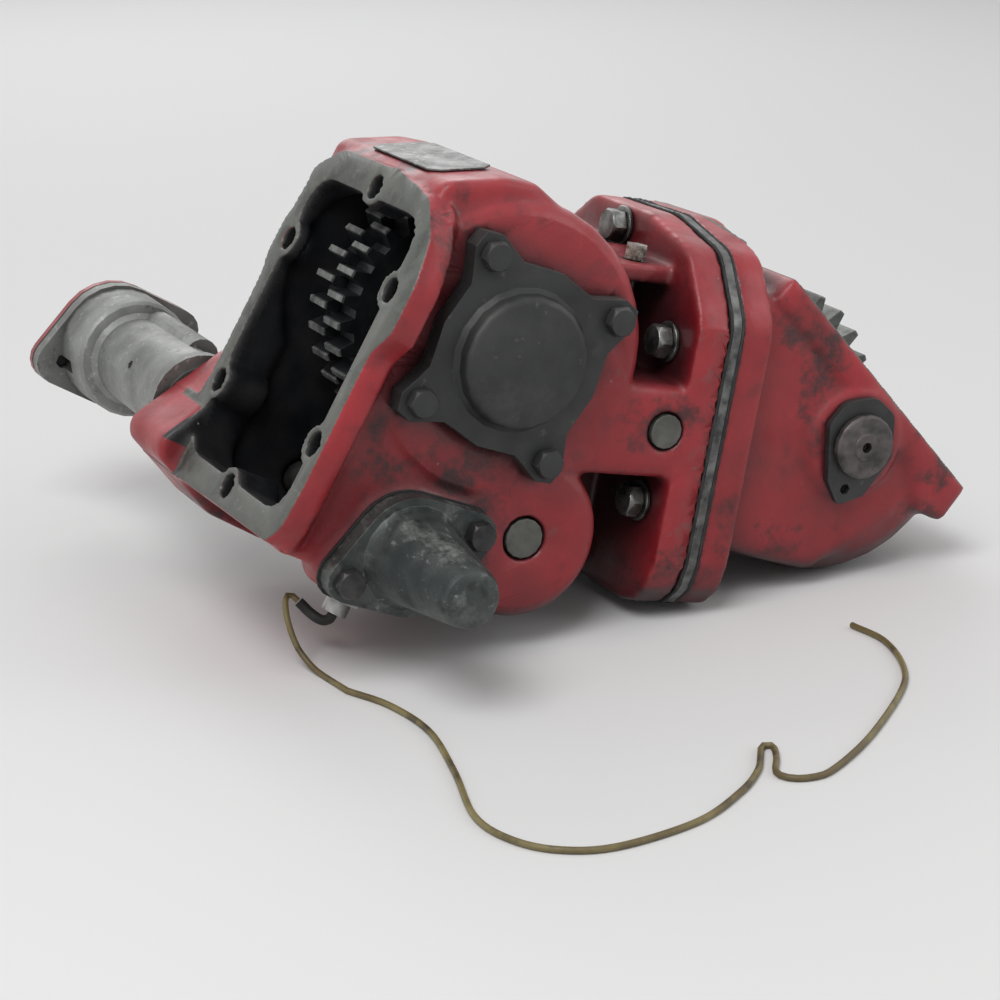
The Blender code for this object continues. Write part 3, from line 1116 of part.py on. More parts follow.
# Small pieces
def make_small_parts():
    top = turned_to(TOP_ANGLE)
    corners = [(x, y, 0.0) for x, y in ((-0.0265, 0.0300), (-0.0215, 0.0250), (-0.0020, 0.0250),
                                        (0.0030, 0.0300), (0.0030, 0.0850), (-0.0020, 0.0900),
                                        (-0.0215, 0.0900), (-0.0265, 0.0850))]
    extruded("data_plate", [filleted(corners)], TOP_HEIGHT + GAP, TOP_HEIGHT + GAP + 0.0009, top, SILVER_PLATE)

    x, y = BREATHER_SPOT
    bolt("breather", BREATHER @ Matrix.Translation((x, y, BREATHER_SEAT)), 0.003, 0.005, 0.009, 0.005, 0.0046,
         material=BRIGHT_STEEL)

    down = turned_to(-math.pi / 2) @ Matrix.Translation((-LAY_AXIS[0], DRAIN_Y, -FLOOR_LEVEL))
    plug = extruded("drain_plug", [circle(0.008, SMALL_STEPS)], -0.0120, -0.0008, down, DARK_STEEL)
    hexagon = circle(0.0046, 6)
    cut(plug, extruded("plug_socket", [hexagon], -0.0065, 0.005, down))

    x, y = SWITCH_SPOT
    base = SWITCH @ Matrix.Translation((x, y, SWITCH_SEAT))
    switch = bolt("indicator_switch", base, 0.0055, 0.010, 0.017, 0.007, 0.0098, material=BRIGHT_STEEL)
    join(switch, extruded("switch_barrel", [circle(0.0058, 12)], 0.006, 0.0150, base))


def smooth_route(points, count):
    """Evenly spaced points on a smooth curve through the route's own points."""
    dense = []
    ends = [points[0] * 2 - points[1]] + points + [points[-1] * 2 - points[-2]]
    for a, b, c, d in zip(ends, ends[1:], ends[2:], ends[3:]):
        for i in range(20):
            u = i / 20
            dense.append(0.5 * ((2 * b) + (c - a) * u + (2 * a - 5 * b + 4 * c - d) * u * u
                                + (3 * b - a - 3 * c + d) * u ** 3))
    dense.append(points[-1])
    lengths = [0.0]
    for a, b in zip(dense, dense[1:]):
        lengths.append(lengths[-1] + (b - a).length)
    route = []
    index = 0
    for i in range(count):
        target = lengths[-1] * i / (count - 1)
        while index < len(dense) - 2 and lengths[index + 1] < target:
            index += 1
        share = (target - lengths[index]) / (lengths[index + 1] - lengths[index])
        route.append(dense[index].lerp(dense[index + 1], min(share, 1.0)))
    return route


def tube(name, route, radius, material, resolution=2):
    curve = bpy.data.curves.new(name, "CURVE")
    curve.dimensions = "3D"
    curve.bevel_depth = radius
    curve.bevel_resolution = resolution
    curve.use_fill_caps = True
    spline = curve.splines.new("POLY")
    spline.points.add(len(route) - 1)
    for point, place_at in zip(spline.points, route):
        point.co = (*place_at, 1.0)
    item = bpy.data.objects.new(name, curve)
    item.data.materials.append(material)
    PARTS.objects.link(item)
    return item


def make_wire():
    """Sensor wire: a black sleeve out of the switch, then the bare wire along the floor."""
    tube("wire_sleeve", smooth_route([Vector(point) for point in SLEEVE_ROUTE], 10), SLEEVE_R, GASKET_BLACK, 1)
    points = [Vector(point) for point in WIRE_ROUTE]
    arch = smooth_route(points[:9], 14)
    tube("wire", arch + smooth_route(points[8:], 34)[1:], WIRE_R, WIRE_SHEATH, 0)


def stand_on_origin():
    """Move the model so that its origin is the middle of its footprint, at its lowest point."""
    bpy.context.view_layer.update()
    graph = bpy.context.evaluated_depsgraph_get()
    corners = []
    for item in PARTS.objects:
        if item.type == "MESH":
            seen = item.evaluated_get(graph)
            corners += [seen.matrix_world @ vertex.co for vertex in seen.to_mesh().vertices]
            seen.to_mesh_clear()
    low = [min(corner[i] for corner in corners) for i in range(3)]
    high = [max(corner[i] for corner in corners) for i in range(3)]
    ORIGIN.location = (-(low[0] + high[0]) / 2, -(low[1] + high[1]) / 2, -low[2])
    bpy.context.view_layer.update()


make_main_housing()
make_input_housing()
make_joint_stack()
make_front_cover()
make_shift_cap()
make_gears()
make_shafts()
bearing("front_bearing", FRONT_BEARING_FRONT)
bearing("rear_bearing", REAR_BEARING_FRONT)
make_output()
make_shift_parts()
make_cylinder()
make_small_parts()
make_bolts()
make_wire()
stand_on_origin()
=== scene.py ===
"""The looks of the power take off unit: finishes, cast skins, the loose wire, light and camera."""

import json
import math

import bmesh
import bpy
import numpy as np
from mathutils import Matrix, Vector
from mathutils.bvhtree import BVHTree

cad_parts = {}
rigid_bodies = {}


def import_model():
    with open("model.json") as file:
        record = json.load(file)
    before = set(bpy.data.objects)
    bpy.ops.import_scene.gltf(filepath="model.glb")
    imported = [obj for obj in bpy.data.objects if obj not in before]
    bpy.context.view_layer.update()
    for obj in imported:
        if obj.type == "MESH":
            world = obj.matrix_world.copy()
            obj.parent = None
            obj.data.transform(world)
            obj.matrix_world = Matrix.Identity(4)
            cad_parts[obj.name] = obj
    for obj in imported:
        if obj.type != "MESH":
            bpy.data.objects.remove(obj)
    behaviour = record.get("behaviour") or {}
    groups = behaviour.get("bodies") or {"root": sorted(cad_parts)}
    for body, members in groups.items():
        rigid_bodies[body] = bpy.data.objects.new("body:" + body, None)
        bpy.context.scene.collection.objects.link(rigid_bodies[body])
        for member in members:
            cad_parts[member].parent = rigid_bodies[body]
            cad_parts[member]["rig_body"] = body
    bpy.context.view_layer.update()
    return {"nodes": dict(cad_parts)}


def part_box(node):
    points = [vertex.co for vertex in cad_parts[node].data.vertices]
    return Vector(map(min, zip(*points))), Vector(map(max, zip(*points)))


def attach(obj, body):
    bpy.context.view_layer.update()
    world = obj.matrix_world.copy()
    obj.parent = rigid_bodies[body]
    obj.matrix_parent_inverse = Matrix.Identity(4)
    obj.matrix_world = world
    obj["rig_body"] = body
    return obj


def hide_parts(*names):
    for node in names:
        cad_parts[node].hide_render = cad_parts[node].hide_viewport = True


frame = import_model()
NODES = frame["nodes"]

# The CAD model's own axes, read from the frame: the main shaft's axis and the plane of the front face
GAP = 0.0003
BEARING_LOW, BEARING_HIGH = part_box("rear_bearing")
FRONT_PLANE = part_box("front_cover_gasket")[1].y + GAP
BEARING_CENTRE = (BEARING_LOW + BEARING_HIGH) / 2
MODEL_ORIGIN = Vector((BEARING_CENTRE.x, FRONT_PLANE, BEARING_CENTRE.z))

# Inclined faces: the angle of the outward normal in the XZ plane and the distance from the main axis
APERTURE_ANGLE = math.radians(150)
APERTURE_DISTANCE = 0.0644
JOINT_ANGLE = math.radians(-11.2)
JOINT_FACE = 0.1060
INPUT_JOINT_FACE = 0.1134
PLATE_ANGLE = math.radians(41.3)
PLATE_FACE = 0.1210

# Bolt holes of the two mounting faces and the aperture's opening, along the face and along Y
APERTURE_HOLES = (
    (0.002, 0.0), (0.002, 0.109), (-0.068, 0.0), (-0.068, 0.109), (0.0378, 0.0545), (-0.1036, 0.0545),
)
PLATE_HOLES = ((0.100, 0.050), (0.100, 0.100), (0.138, 0.025), (0.200, 0.025), (0.138, 0.122), (0.200, 0.122))
HOLE_DEPTH = 0.0125
HOLE_R = (0.0066, 0.0062)
MILLED_DEPTH = (-0.0180, 0.1350)
APERTURE_MOUTH = ((-0.1008, 0.0338), (-0.0003, 0.1098), 0.0500)

# Greys of the tooth tips, rubbed and lightened as a painted highlight, and of the oily gear bodies, near
# black partly as painted shade
TIP_HIGHLIGHT_GREYS = ((0.110, 0.114, 0.108), (0.230, 0.235, 0.225))
OILY_SHADED_GREYS = ((0.006, 0.007, 0.009), (0.018, 0.019, 0.021))

# Camera at the photograph's view
CAMERA_FROM_AXIS = Vector((-0.4882, -0.9784, 0.2915))
CAMERA_AZIMUTH = math.radians(-26.3)
CAMERA_ELEVATION = math.radians(18)
CAMERA_LENS = 97.2
CAMERA_SENSOR = 36

# Wire out of the indicator switch, in metres in the shared frame
WIRE_R = 0.00135
SLEEVE_R = 0.0023
SLEEVE_ROUTE = (
    (-0.1315, -0.0782, 0.0209), (-0.1328, -0.0780, 0.0190), (-0.1359, -0.0768, 0.0185),
    (-0.1397, -0.0742, 0.0212), (-0.1439, -0.0708, 0.0262),
)
WIRE_ARCH_POINTS = 9
WIRE_ROUTE = (
    (-0.1442, -0.0705, 0.0266), (-0.1459, -0.0692, 0.0286), (-0.1484, -0.0694, 0.0296),
    (-0.1504, -0.0715, 0.0270), (-0.1509, -0.0750, 0.0200), (-0.1494, -0.0805, 0.0105),
    (-0.1464, -0.0870, 0.0040), (-0.1442, -0.0950, 0.0015),
    (-0.1416, -0.1172, 0.0015), (-0.1322, -0.1402, 0.0015), (-0.1292, -0.1722, 0.0015),
    (-0.1372, -0.2122, 0.0015), (-0.1482, -0.2532, 0.0015), (-0.1452, -0.2772, 0.0015),
    (-0.1332, -0.2932, 0.0015), (-0.1122, -0.3002, 0.0015), (-0.0752, -0.2942, 0.0015),
    (-0.0472, -0.2782, 0.0015), (-0.0312, -0.2642, 0.0015), (-0.0232, -0.2532, 0.0015),
    (-0.0182, -0.2457, 0.0015), (-0.0147, -0.2437, 0.0015), (-0.0132, -0.2472, 0.0015),
    (-0.0182, -0.2572, 0.0015), (-0.0252, -0.2682, 0.0015), (-0.0237, -0.2752, 0.0015),
    (-0.0162, -0.2787, 0.0015), (-0.0042, -0.2762, 0.0015), (0.0268, -0.2552, 0.0015),
    (0.0658, -0.2202, 0.0015), (0.0828, -0.1972, 0.0015), (0.0928, -0.1682, 0.0015),
    (0.0908, -0.1452, 0.0015),
)

# Castings: size of the grid, rounds of smoothing, and how near a point lies to be held on a plane
CASTING_VOXEL = 0.00130
CASTING_ROUNDS = 11
CASTING_TRIANGLES = 190000
PLANE_REACH = 0.0005

# Sealant squeezed out of the joint, and the corners of a bolt's turned outline
SEAL_POINTS = 260
SEAL_R = 0.0008
SEAL_SINK = 0.0003
SEAL_LOWEST = 0.0009
BOLT_TURNS = 48

# Light: the lamps are name, place, size and power
WORLD_LIGHT = 0.36
LAMPS = (
    ("key_light", (-1.1, -1.0, 2.0), 1.3, 30),
    ("side_light", (1.7, -1.3, 1.2), 1.2, 7),
    ("back_light", (0.4, 1.9, 1.4), 1.4, 12),
)

# Nodes shown as a finished copy: nodes, finish, material slot and width of the chamfers
DRESSES = (
    (("front_cover", "rear_cover"), "black_paint", "black_paint", 0.0010),
    (("shift_cylinder",), "cast_aluminium", "cast_aluminium", 0.0009),
    (("shift_piston",), "cast_aluminium", "cast_aluminium", 0.0004),
    (("cylinder_end_plate",), "red_paint", "red_paint", 0.0006),
    (("shift_cap",), "worn_cap", "worn_cap", 0.0010),
    (("idler_gear", "lay_gear"), "gear_steel", "gear_steel", 0.0004),
    (("driven_gear",), "driven_gear", "gear_steel", 0.0005),
    (("sliding_gear",), "sliding_gear", "gear_steel", 0.0005),
    (("input_gear",), "input_gear", "gear_steel", 0.0007),
    (("main_shaft", "shift_fork", "cross_arm", "shift_rail"), "gear_steel", "gear_steel", 0.0003),
    (("idler_pin", "lay_pin"), "pin_steel", "gear_steel", 0.0006),
    (("input_pin",), "pin_head", "dark_steel", 0.0006),
    (("pin_keeper",), "black_paint", "dark_steel", 0.0006),
    (("joint_plate",), "plate_steel", "bright_steel", 0.0003),
    (("output_flange", "drain_plug"), "dark_steel", "dark_steel", 0.0006),
    (("flange_nut", "front_bearing", "rear_bearing", "return_spring"), "bright_steel",
     "bright_steel", 0.0003),
    (("indicator_switch",), "bright_steel", "bright_steel", 0.0004),
    (("breather",), "corroded", "bright_steel", 0.0005),
    (("data_plate",), "data_plate", "silver_plate", 0.0002),
    (("joint_gasket_main", "joint_gasket_input", "front_cover_gasket", "shift_cap_gasket", "cylinder_gasket",
      "shaft_seal"), "gasket_black", "gasket_black", 0.0002),
)


def make_camera():
    data = bpy.data.cameras.new("photo_camera")
    data.lens = CAMERA_LENS
    data.sensor_width = CAMERA_SENSOR
    camera = bpy.data.objects.new("photo_camera", data)
    bpy.context.scene.collection.objects.link(camera)
    camera.location = MODEL_ORIGIN + CAMERA_FROM_AXIS
    level = math.cos(CAMERA_ELEVATION)
    back = Vector((math.sin(CAMERA_AZIMUTH) * level, -math.cos(CAMERA_AZIMUTH) * level,
                   math.sin(CAMERA_ELEVATION)))
    camera.rotation_euler = back.to_track_quat("Z", "Y").to_euler()
    bpy.context.scene.camera = camera


def smooth_route(points, count):
    """Evenly spaced points on a smooth curve through the route's own points."""
    dense = []
    ends = [points[0] * 2 - points[1]] + points + [points[-1] * 2 - points[-2]]
    for a, b, c, d in zip(ends, ends[1:], ends[2:], ends[3:]):
        for i in range(20):
            u = i / 20
            dense.append(0.5 * ((2 * b) + (c - a) * u + (2 * a - 5 * b + 4 * c - d) * u * u
                                + (3 * b - a - 3 * c + d) * u ** 3))
    dense.append(points[-1])
    lengths = [0.0]
    for a, b in zip(dense, dense[1:]):
        lengths.append(lengths[-1] + (b - a).length)
    route = []
    index = 0
    for i in range(count):
        target = lengths[-1] * i / (count - 1)
        while index < len(dense) - 2 and lengths[index + 1] < target:
            index += 1
        share = (target - lengths[index]) / (lengths[index + 1] - lengths[index])
        route.append(dense[index].lerp(dense[index + 1], min(share, 1.0)))
    return route


def tube(name, route, radius, material):
    curve = bpy.data.curves.new(name, "CURVE")
    curve.dimensions = "3D"
    curve.bevel_depth = radius
    curve.bevel_resolution = 5
    curve.use_fill_caps = True
    spline = curve.splines.new("POLY")
    spline.points.add(len(route) - 1)
    for point, place_at in zip(spline.points, route):
        point.co = (*place_at, 1.0)
    spline.use_smooth = True
    item = bpy.data.objects.new(name, curve)
    item.data.materials.append(material)
    bpy.context.scene.collection.objects.link(item)
    return item


def make_wire(sheath, sleeve_rubber):
    points = [Vector(point) for point in WIRE_ROUTE]
    route = smooth_route(points[:WIRE_ARCH_POINTS], 24)
    route += smooth_route(points[WIRE_ARCH_POINTS - 1:], 150)[1:]
    wire = tube("loose_wire", route, WIRE_R, sheath)
    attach(wire, "housing")
    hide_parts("wire")
    sleeve_route = smooth_route([Vector(point) for point in SLEEVE_ROUTE], 24)
    sleeve = tube("wire_boot", sleeve_route, SLEEVE_R, sleeve_rubber)
    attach(sleeve, "housing")
    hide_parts("wire_sleeve")


class Shader:
    """Small helper to build one node material."""

    def __init__(self, name):
        self.material = bpy.data.materials.new(name)
        self.material.use_nodes = True
        self.tree = self.material.node_tree
        self.principled = self.tree.nodes["Principled BSDF"]
        self.place = self.add("ShaderNodeTexCoord").outputs["Object"]

    def add(self, kind, **settings):
        node = self.tree.nodes.new(kind)
        for key, value in settings.items():
            setattr(node, key, value)
        return node

    def feed(self, socket, value):
        if isinstance(value, bpy.types.NodeSocket):
            self.tree.links.new(value, socket)
        elif isinstance(value, tuple) and len(value) == 3 and socket.type == "RGBA":
            socket.default_value = (*value, 1.0)
        else:
            socket.default_value = value

    def noise(self, scale, detail=3.0, roughness=0.55, stretch=None):
        node = self.add("ShaderNodeTexNoise")
        place = self.place
        if stretch:
            mapping = self.add("ShaderNodeMapping")
            self.feed(mapping.inputs["Vector"], self.place)
            mapping.inputs["Scale"].default_value = stretch
            place = mapping.outputs["Vector"]
        self.feed(node.inputs["Vector"], place)
        node.inputs["Scale"].default_value = scale
        node.inputs["Detail"].default_value = detail
        node.inputs["Roughness"].default_value = roughness
        return node.outputs["Fac"]

    def between(self, value, low, high, bottom=0.0, top=1.0):
        """value from low to high becomes bottom to top."""
        node = self.add("ShaderNodeMapRange", clamp=True)
        self.feed(node.inputs["Value"], value)
        for name, number in (("From Min", low), ("From Max", high), ("To Min", bottom), ("To Max", top)):
            node.inputs[name].default_value = number
        return node.outputs["Result"]

    def math(self, operation, a, b=0.0):
        node = self.add("ShaderNodeMath", operation=operation)
        self.feed(node.inputs[0], a)
        self.feed(node.inputs[1], b)
        return node.outputs["Value"]

    def mix(self, factor, a, b):
        node = self.add("ShaderNodeMix", data_type="RGBA")
        self.feed(node.inputs["Factor"], factor)
        self.feed(node.inputs["A"], a)
        self.feed(node.inputs["B"], b)
        return node.outputs["Result"]

    def edges(self):
        """Pointiness of a dense mesh: over 0.5 on its edges and below 0.5 in its corners."""
        return self.add("ShaderNodeNewGeometry").outputs["Pointiness"]

    def upward(self):
        """1 where the surface faces up."""
        node = self.add("ShaderNodeSeparateXYZ")
        self.feed(node.inputs["Vector"], self.add("ShaderNodeNewGeometry").outputs["Normal"])
        return node.outputs["Z"]

    def hollow(self, distance):
        """Near 0 in deep corners and near 1 in the open."""
        node = self.add("ShaderNodeAmbientOcclusion", samples=6)
        node.inputs["Distance"].default_value = distance
        return node.outputs["AO"]

    def dot(self, vector, direction):
        node = self.add("ShaderNodeVectorMath", operation="DOT_PRODUCT")
        self.feed(node.inputs[0], vector)
        node.inputs[1].default_value = tuple(direction)
        return node.outputs["Value"]

    def facing(self, angle):
        """Cosine between the surface and an inclined face."""
        normal = self.add("ShaderNodeTexCoord").outputs["Normal"]
        return self.dot(normal, plane_frame(angle)[0])

    def out_from(self, angle):
        """Distance from the main axis along an inclined face's normal."""
        normal = plane_frame(angle)[0]
        return self.math("SUBTRACT", self.dot(self.place, normal), float(np.dot(MODEL_ORIGIN, normal)))

    def near_plane(self, angle, distance):
        """1 on an inclined plane, falling to 0 within a millimetre."""
        off = self.math("ABSOLUTE", self.math("SUBTRACT", self.out_from(angle), distance))
        return self.between(off, 0.00110, 0.00080)

    def within(self, value, low, high):
        """1 between two values, with a soft edge of 0.2 mm."""
        soft = 0.0002
        return self.math("MULTIPLY", self.between(value, low - soft, low),
                         self.between(value, high + soft, high))

    def depth(self):
        """Distance along Y from the front face."""
        return self.math("SUBTRACT", self.dot(self.place, (0.0, 1.0, 0.0)), MODEL_ORIGIN.y)

    def in_mouth(self, angle, box):
        """1 in the opening of an inclined face."""
        along, depth, least = box
        side = plane_frame(angle)[1]
        t = self.math("SUBTRACT", self.dot(self.place, side), float(np.dot(MODEL_ORIGIN, side)))
        inside = self.math("MULTIPLY", self.within(t, *along), self.within(self.depth(), *depth))
        return self.math("MULTIPLY", inside, self.between(self.out_from(angle), least - 0.0005, least))

    def in_hole(self, angle, distance, spot):
        """1 in a bolt hole square to an inclined face."""
        normal, side = plane_frame(angle)
        centre = Vector(side * spot[0] + normal * distance) + MODEL_ORIGIN + Vector((0.0, spot[1], 0.0))
        away = self.add("ShaderNodeVectorMath", operation="SUBTRACT")
        self.feed(away.inputs[0], self.place)
        away.inputs[1].default_value = centre
        cross = self.add("ShaderNodeVectorMath", operation="CROSS_PRODUCT")
        self.feed(cross.inputs[0], away.outputs["Vector"])
        cross.inputs[1].default_value = tuple(normal)
        length = self.add("ShaderNodeVectorMath", operation="LENGTH")
        self.feed(length.inputs[0], cross.outputs["Vector"])
        sunk = self.within(self.out_from(angle), distance - HOLE_DEPTH, distance - 0.0006)
        return self.math("MULTIPLY", self.between(length.outputs["Value"], *HOLE_R), sunk)

    def bump(self, *layers):
        """Layers of (height, strength, distance)."""
        normal = None
        for height, strength, distance in layers:
            node = self.add("ShaderNodeBump")
            node.inputs["Strength"].default_value = strength
            node.inputs["Distance"].default_value = distance
            self.feed(node.inputs["Height"], height)
            if normal:
                self.feed(node.inputs["Normal"], normal)
            normal = node.outputs["Normal"]
        self.feed(self.principled.inputs["Normal"], normal)

    def finish(self, colour, roughness, metallic=0.0, coat=0.0):
        self.feed(self.principled.inputs["Base Color"], colour)
        self.feed(self.principled.inputs["Roughness"], roughness)
        self.feed(self.principled.inputs["Metallic"], metallic)
        self.principled.inputs["Coat Weight"].default_value = coat
        return self.material


def milled_look(s):
    """Colour of milled cast iron, bare and stained."""
    grey = s.mix(s.between(s.noise(60, 6, 0.6), 0.38, 0.66), (0.085, 0.090, 0.080), (0.140, 0.144, 0.130))
    stain = s.between(s.noise(32, 7, 0.7), 0.53, 0.64, 0.0, 0.70)
    grey = s.mix(stain, grey, (0.034, 0.036, 0.032))
    flecks = s.between(s.noise(260, 4), 0.63, 0.70, 0.0, 0.4)
    return s.mix(flecks, grey, (0.230, 0.232, 0.215))


def painted_casting(name, milled=None, holes=(), mouth=None):
    """Red paint over rough iron, with grime and painted shade in its corners and hollows, and wear on the
    edges.

    milled is (angle, distance) of a bare face, holes are the places of the bolt holes in it, which are
    painted near black as shade, and mouth is the box of the opening in it, whose walls aren't painted and are
    near black, partly as painted shade.
    """
    s = Shader(name)
    mottled = s.between(s.noise(28, 4), 0.35, 0.68)
    red = s.mix(mottled, (0.215, 0.009, 0.013), (0.345, 0.017, 0.024))
    faded = s.math("MULTIPLY", s.between(s.upward(), 0.45, 0.95),
                   s.between(s.noise(55, 5), 0.38, 0.70, 0.10, 0.60))
    red = s.mix(faded, red, (0.480, 0.095, 0.115))
    blotch = s.between(s.noise(75, 5, 0.6), 0.56, 0.66, 0.0, 0.45)
    red = s.mix(blotch, red, (0.130, 0.010, 0.016))
    # Painted shade: the red turns deep maroon where the surface is enclosed within 45 mm.
    open_wide = s.hollow(0.045)
    red = s.mix(s.between(open_wide, 0.92, 0.45, 0.0, 0.85), red, (0.060, 0.006, 0.010))
    # Grime and painted shade: near black in concave corners and in hollows, in patches, with real stains
    # added.
    corner = s.between(s.edges(), 0.497, 0.462)
    patchiness = s.between(s.noise(38, 6, 0.65), 0.42, 0.62)
    deep = s.between(open_wide, 0.62, 0.22)
    near = s.between(s.hollow(0.007), 0.72, 0.30)
    grime_and_shade = s.math("MAXIMUM", s.math("MULTIPLY", corner, s.between(patchiness, 0.0, 1.0, 0.40, 0.95)),
                   s.math("MULTIPLY", s.math("MAXIMUM", deep, near), s.between(patchiness, 0.0, 1.0, 0.55, 0.97)))
    stain = s.between(s.noise(17, 7, 0.7), 0.560, 0.64, 0.0, 0.84)
    grime_and_shade = s.math("MAXIMUM", grime_and_shade, stain)
    red = s.mix(grime_and_shade, red, (0.012, 0.008, 0.009))
    edge = s.math("MULTIPLY", s.between(s.edges(), 0.535, 0.585), s.between(s.noise(120, 5, 0.6), 0.52, 0.61))
    red = s.mix(edge, red, (0.120, 0.095, 0.090))
    scratch = s.between(s.noise(90, 4, 0.6, (1.0, 0.22, 1.0)), 0.705, 0.735)
    red = s.mix(scratch, red, (0.330, 0.150, 0.145))
    roughness = s.between(s.noise(60, 3), 0.35, 0.65, 0.34, 0.56)
    bare = 0.0
    if milled:
        angle, distance = milled
        face = s.facing(angle)
        bare = s.math("MULTIPLY", s.near_plane(angle, distance), s.between(face, 0.60, 0.74))
        bare = s.math("MULTIPLY", bare, s.within(s.depth(), *MILLED_DEPTH))
        if mouth:
            # The opening's walls are bare iron, near black partly as painted shade.
            inner = s.math("MULTIPLY", s.in_mouth(angle, mouth), s.math("SUBTRACT", 1.0, bare))
            red = s.mix(inner, red, (0.010, 0.010, 0.011))
        # Painted shade: the bolt holes of the milled face are near black inside.
        for hole in holes:
            red = s.mix(s.in_hole(angle, distance, hole), red, (0.010, 0.011, 0.010))
        red = s.mix(bare, red, milled_look(s))
        roughness = s.math("ADD", roughness, s.math("MULTIPLY", bare, 0.08))
    s.bump((s.noise(950, 2), 0.22, 0.0004), (s.noise(140, 3), 0.30, 0.0006))
    s.finish(red, roughness, 0.0, 0.10)
    s.feed(s.principled.inputs["Metallic"], s.math("MULTIPLY", bare, 0.35))
    return s.material


def oily_shaded_inside():
    """Dark oil-stained iron inside the housings, near black partly as painted shade."""
    s = Shader("oily_shaded_cast_inside")
    dark = s.mix(s.between(s.noise(50, 4), 0.4, 0.65), (0.004, 0.005, 0.007), (0.013, 0.012, 0.013))
    s.bump((s.noise(420, 3), 0.35, 0.0005))
    s.principled.inputs["Specular IOR Level"].default_value = 0.25
    return s.finish(dark, s.between(s.noise(40, 3), 0.4, 0.6, 0.50, 0.72))


def black_paint():
    s = Shader("dusty_black_paint")
    black = s.mix(s.between(s.noise(45, 5), 0.38, 0.66), (0.010, 0.0105, 0.011), (0.024, 0.025, 0.025))
    dust = s.math("MULTIPLY", s.between(s.upward(), -0.1, 0.9),
                  s.between(s.noise(70, 5), 0.42, 0.68, 0.03, 0.35))
    black = s.mix(dust, black, (0.085, 0.080, 0.076))
    smear = s.between(s.noise(34, 6, 0.7), 0.56, 0.66, 0.0, 0.35)
    black = s.mix(smear, black, (0.060, 0.056, 0.054))
    rub = s.between(s.noise(210, 4), 0.68, 0.73, 0.0, 0.45)
    black = s.mix(rub, black, (0.105, 0.100, 0.096))
    s.bump((s.noise(800, 2), 0.20, 0.0003), (s.noise(170, 3), 0.25, 0.0004))
    return s.finish(black, s.between(s.noise(50, 3), 0.35, 0.65, 0.45, 0.68), 0.0)


def cast_aluminium():
    s = Shader("dull_cast_aluminium")
    grey = s.mix(s.between(s.noise(40, 5), 0.36, 0.66), (0.150, 0.155, 0.145), (0.285, 0.292, 0.280))
    # Grime and painted shade: darker where the surface is enclosed within 15 mm.
    grime_and_shade = s.between(s.hollow(0.015), 0.85, 0.35, 0.0, 0.8)
    grey = s.mix(grime_and_shade, grey, (0.045, 0.044, 0.042))
    fleck = s.between(s.noise(330, 4), 0.60, 0.70, 0.0, 0.5)
    grey = s.mix(fleck, grey, (0.420, 0.425, 0.415))
    pit = s.between(s.noise(240, 3), 0.34, 0.28, 0.0, 0.6)
    grey = s.mix(pit, grey, (0.060, 0.060, 0.058))
    s.bump((s.noise(900, 2), 0.30, 0.0004), (s.noise(180, 3), 0.30, 0.0005))
    return s.finish(grey, s.between(s.noise(60, 3), 0.35, 0.65, 0.42, 0.62), 0.45)


def scuffed_highlit_cap():
    """Dark grey cap, greenish, rubbed bright in streaks, stronger on faces that look up as a painted
    highlight.
    """
    s = Shader("scuffed_highlit_grey_cap")
    grey = s.mix(s.between(s.noise(38, 5), 0.36, 0.66), (0.020, 0.026, 0.026), (0.072, 0.082, 0.078))
    rub = s.between(s.noise(58, 7, 0.72, (1.0, 0.45, 1.0)), 0.52, 0.66, 0.0, 0.80)
    # Painted highlight: the rubbed streaks are stronger on faces that look up.
    high = s.between(s.upward(), -0.3, 0.7, 0.25, 1.0)
    grey = s.mix(s.math("MULTIPLY", rub, high), grey, (0.250, 0.262, 0.250))
    fine = s.between(s.noise(260, 5, 0.7, (1.0, 0.3, 1.0)), 0.62, 0.70, 0.0, 0.6)
    grey = s.mix(fine, grey, (0.300, 0.310, 0.300))
    dark = s.between(s.noise(90, 5), 0.56, 0.66, 0.0, 0.7)
    grey = s.mix(dark, grey, (0.014, 0.016, 0.016))
    s.bump((s.noise(650, 3), 0.30, 0.0004), (s.noise(120, 4), 0.40, 0.0007))
    return s.finish(grey, s.between(s.noise(80, 3), 0.35, 0.65, 0.36, 0.60), 0.4)


def steel(name, low, high, roughness, metallic, dirt_and_shade=0.5):
    """Worn steel between two greys."""
    s = Shader(name)
    grey = s.mix(s.between(s.noise(130, 5), 0.36, 0.66), low, high)
    # Grime and painted shade: darker where the surface is enclosed within 8 mm, by the share the last
    # argument gives.
    grime_and_shade = s.between(s.hollow(0.008), 0.85, 0.30, 0.0, dirt_and_shade)
    grey = s.mix(grime_and_shade, grey, (0.020, 0.018, 0.017))
    rust = s.between(s.noise(170, 5, 0.65), 0.60, 0.68, 0.0, 0.45 * dirt_and_shade)
    grey = s.mix(rust, grey, (0.105, 0.056, 0.034))
    s.bump((s.noise(1100, 2), 0.12, 0.0002))
    spread = s.between(s.noise(150, 3), 0.35, 0.65, roughness - 0.08, roughness + 0.12)
    return s.finish(grey, spread, metallic)


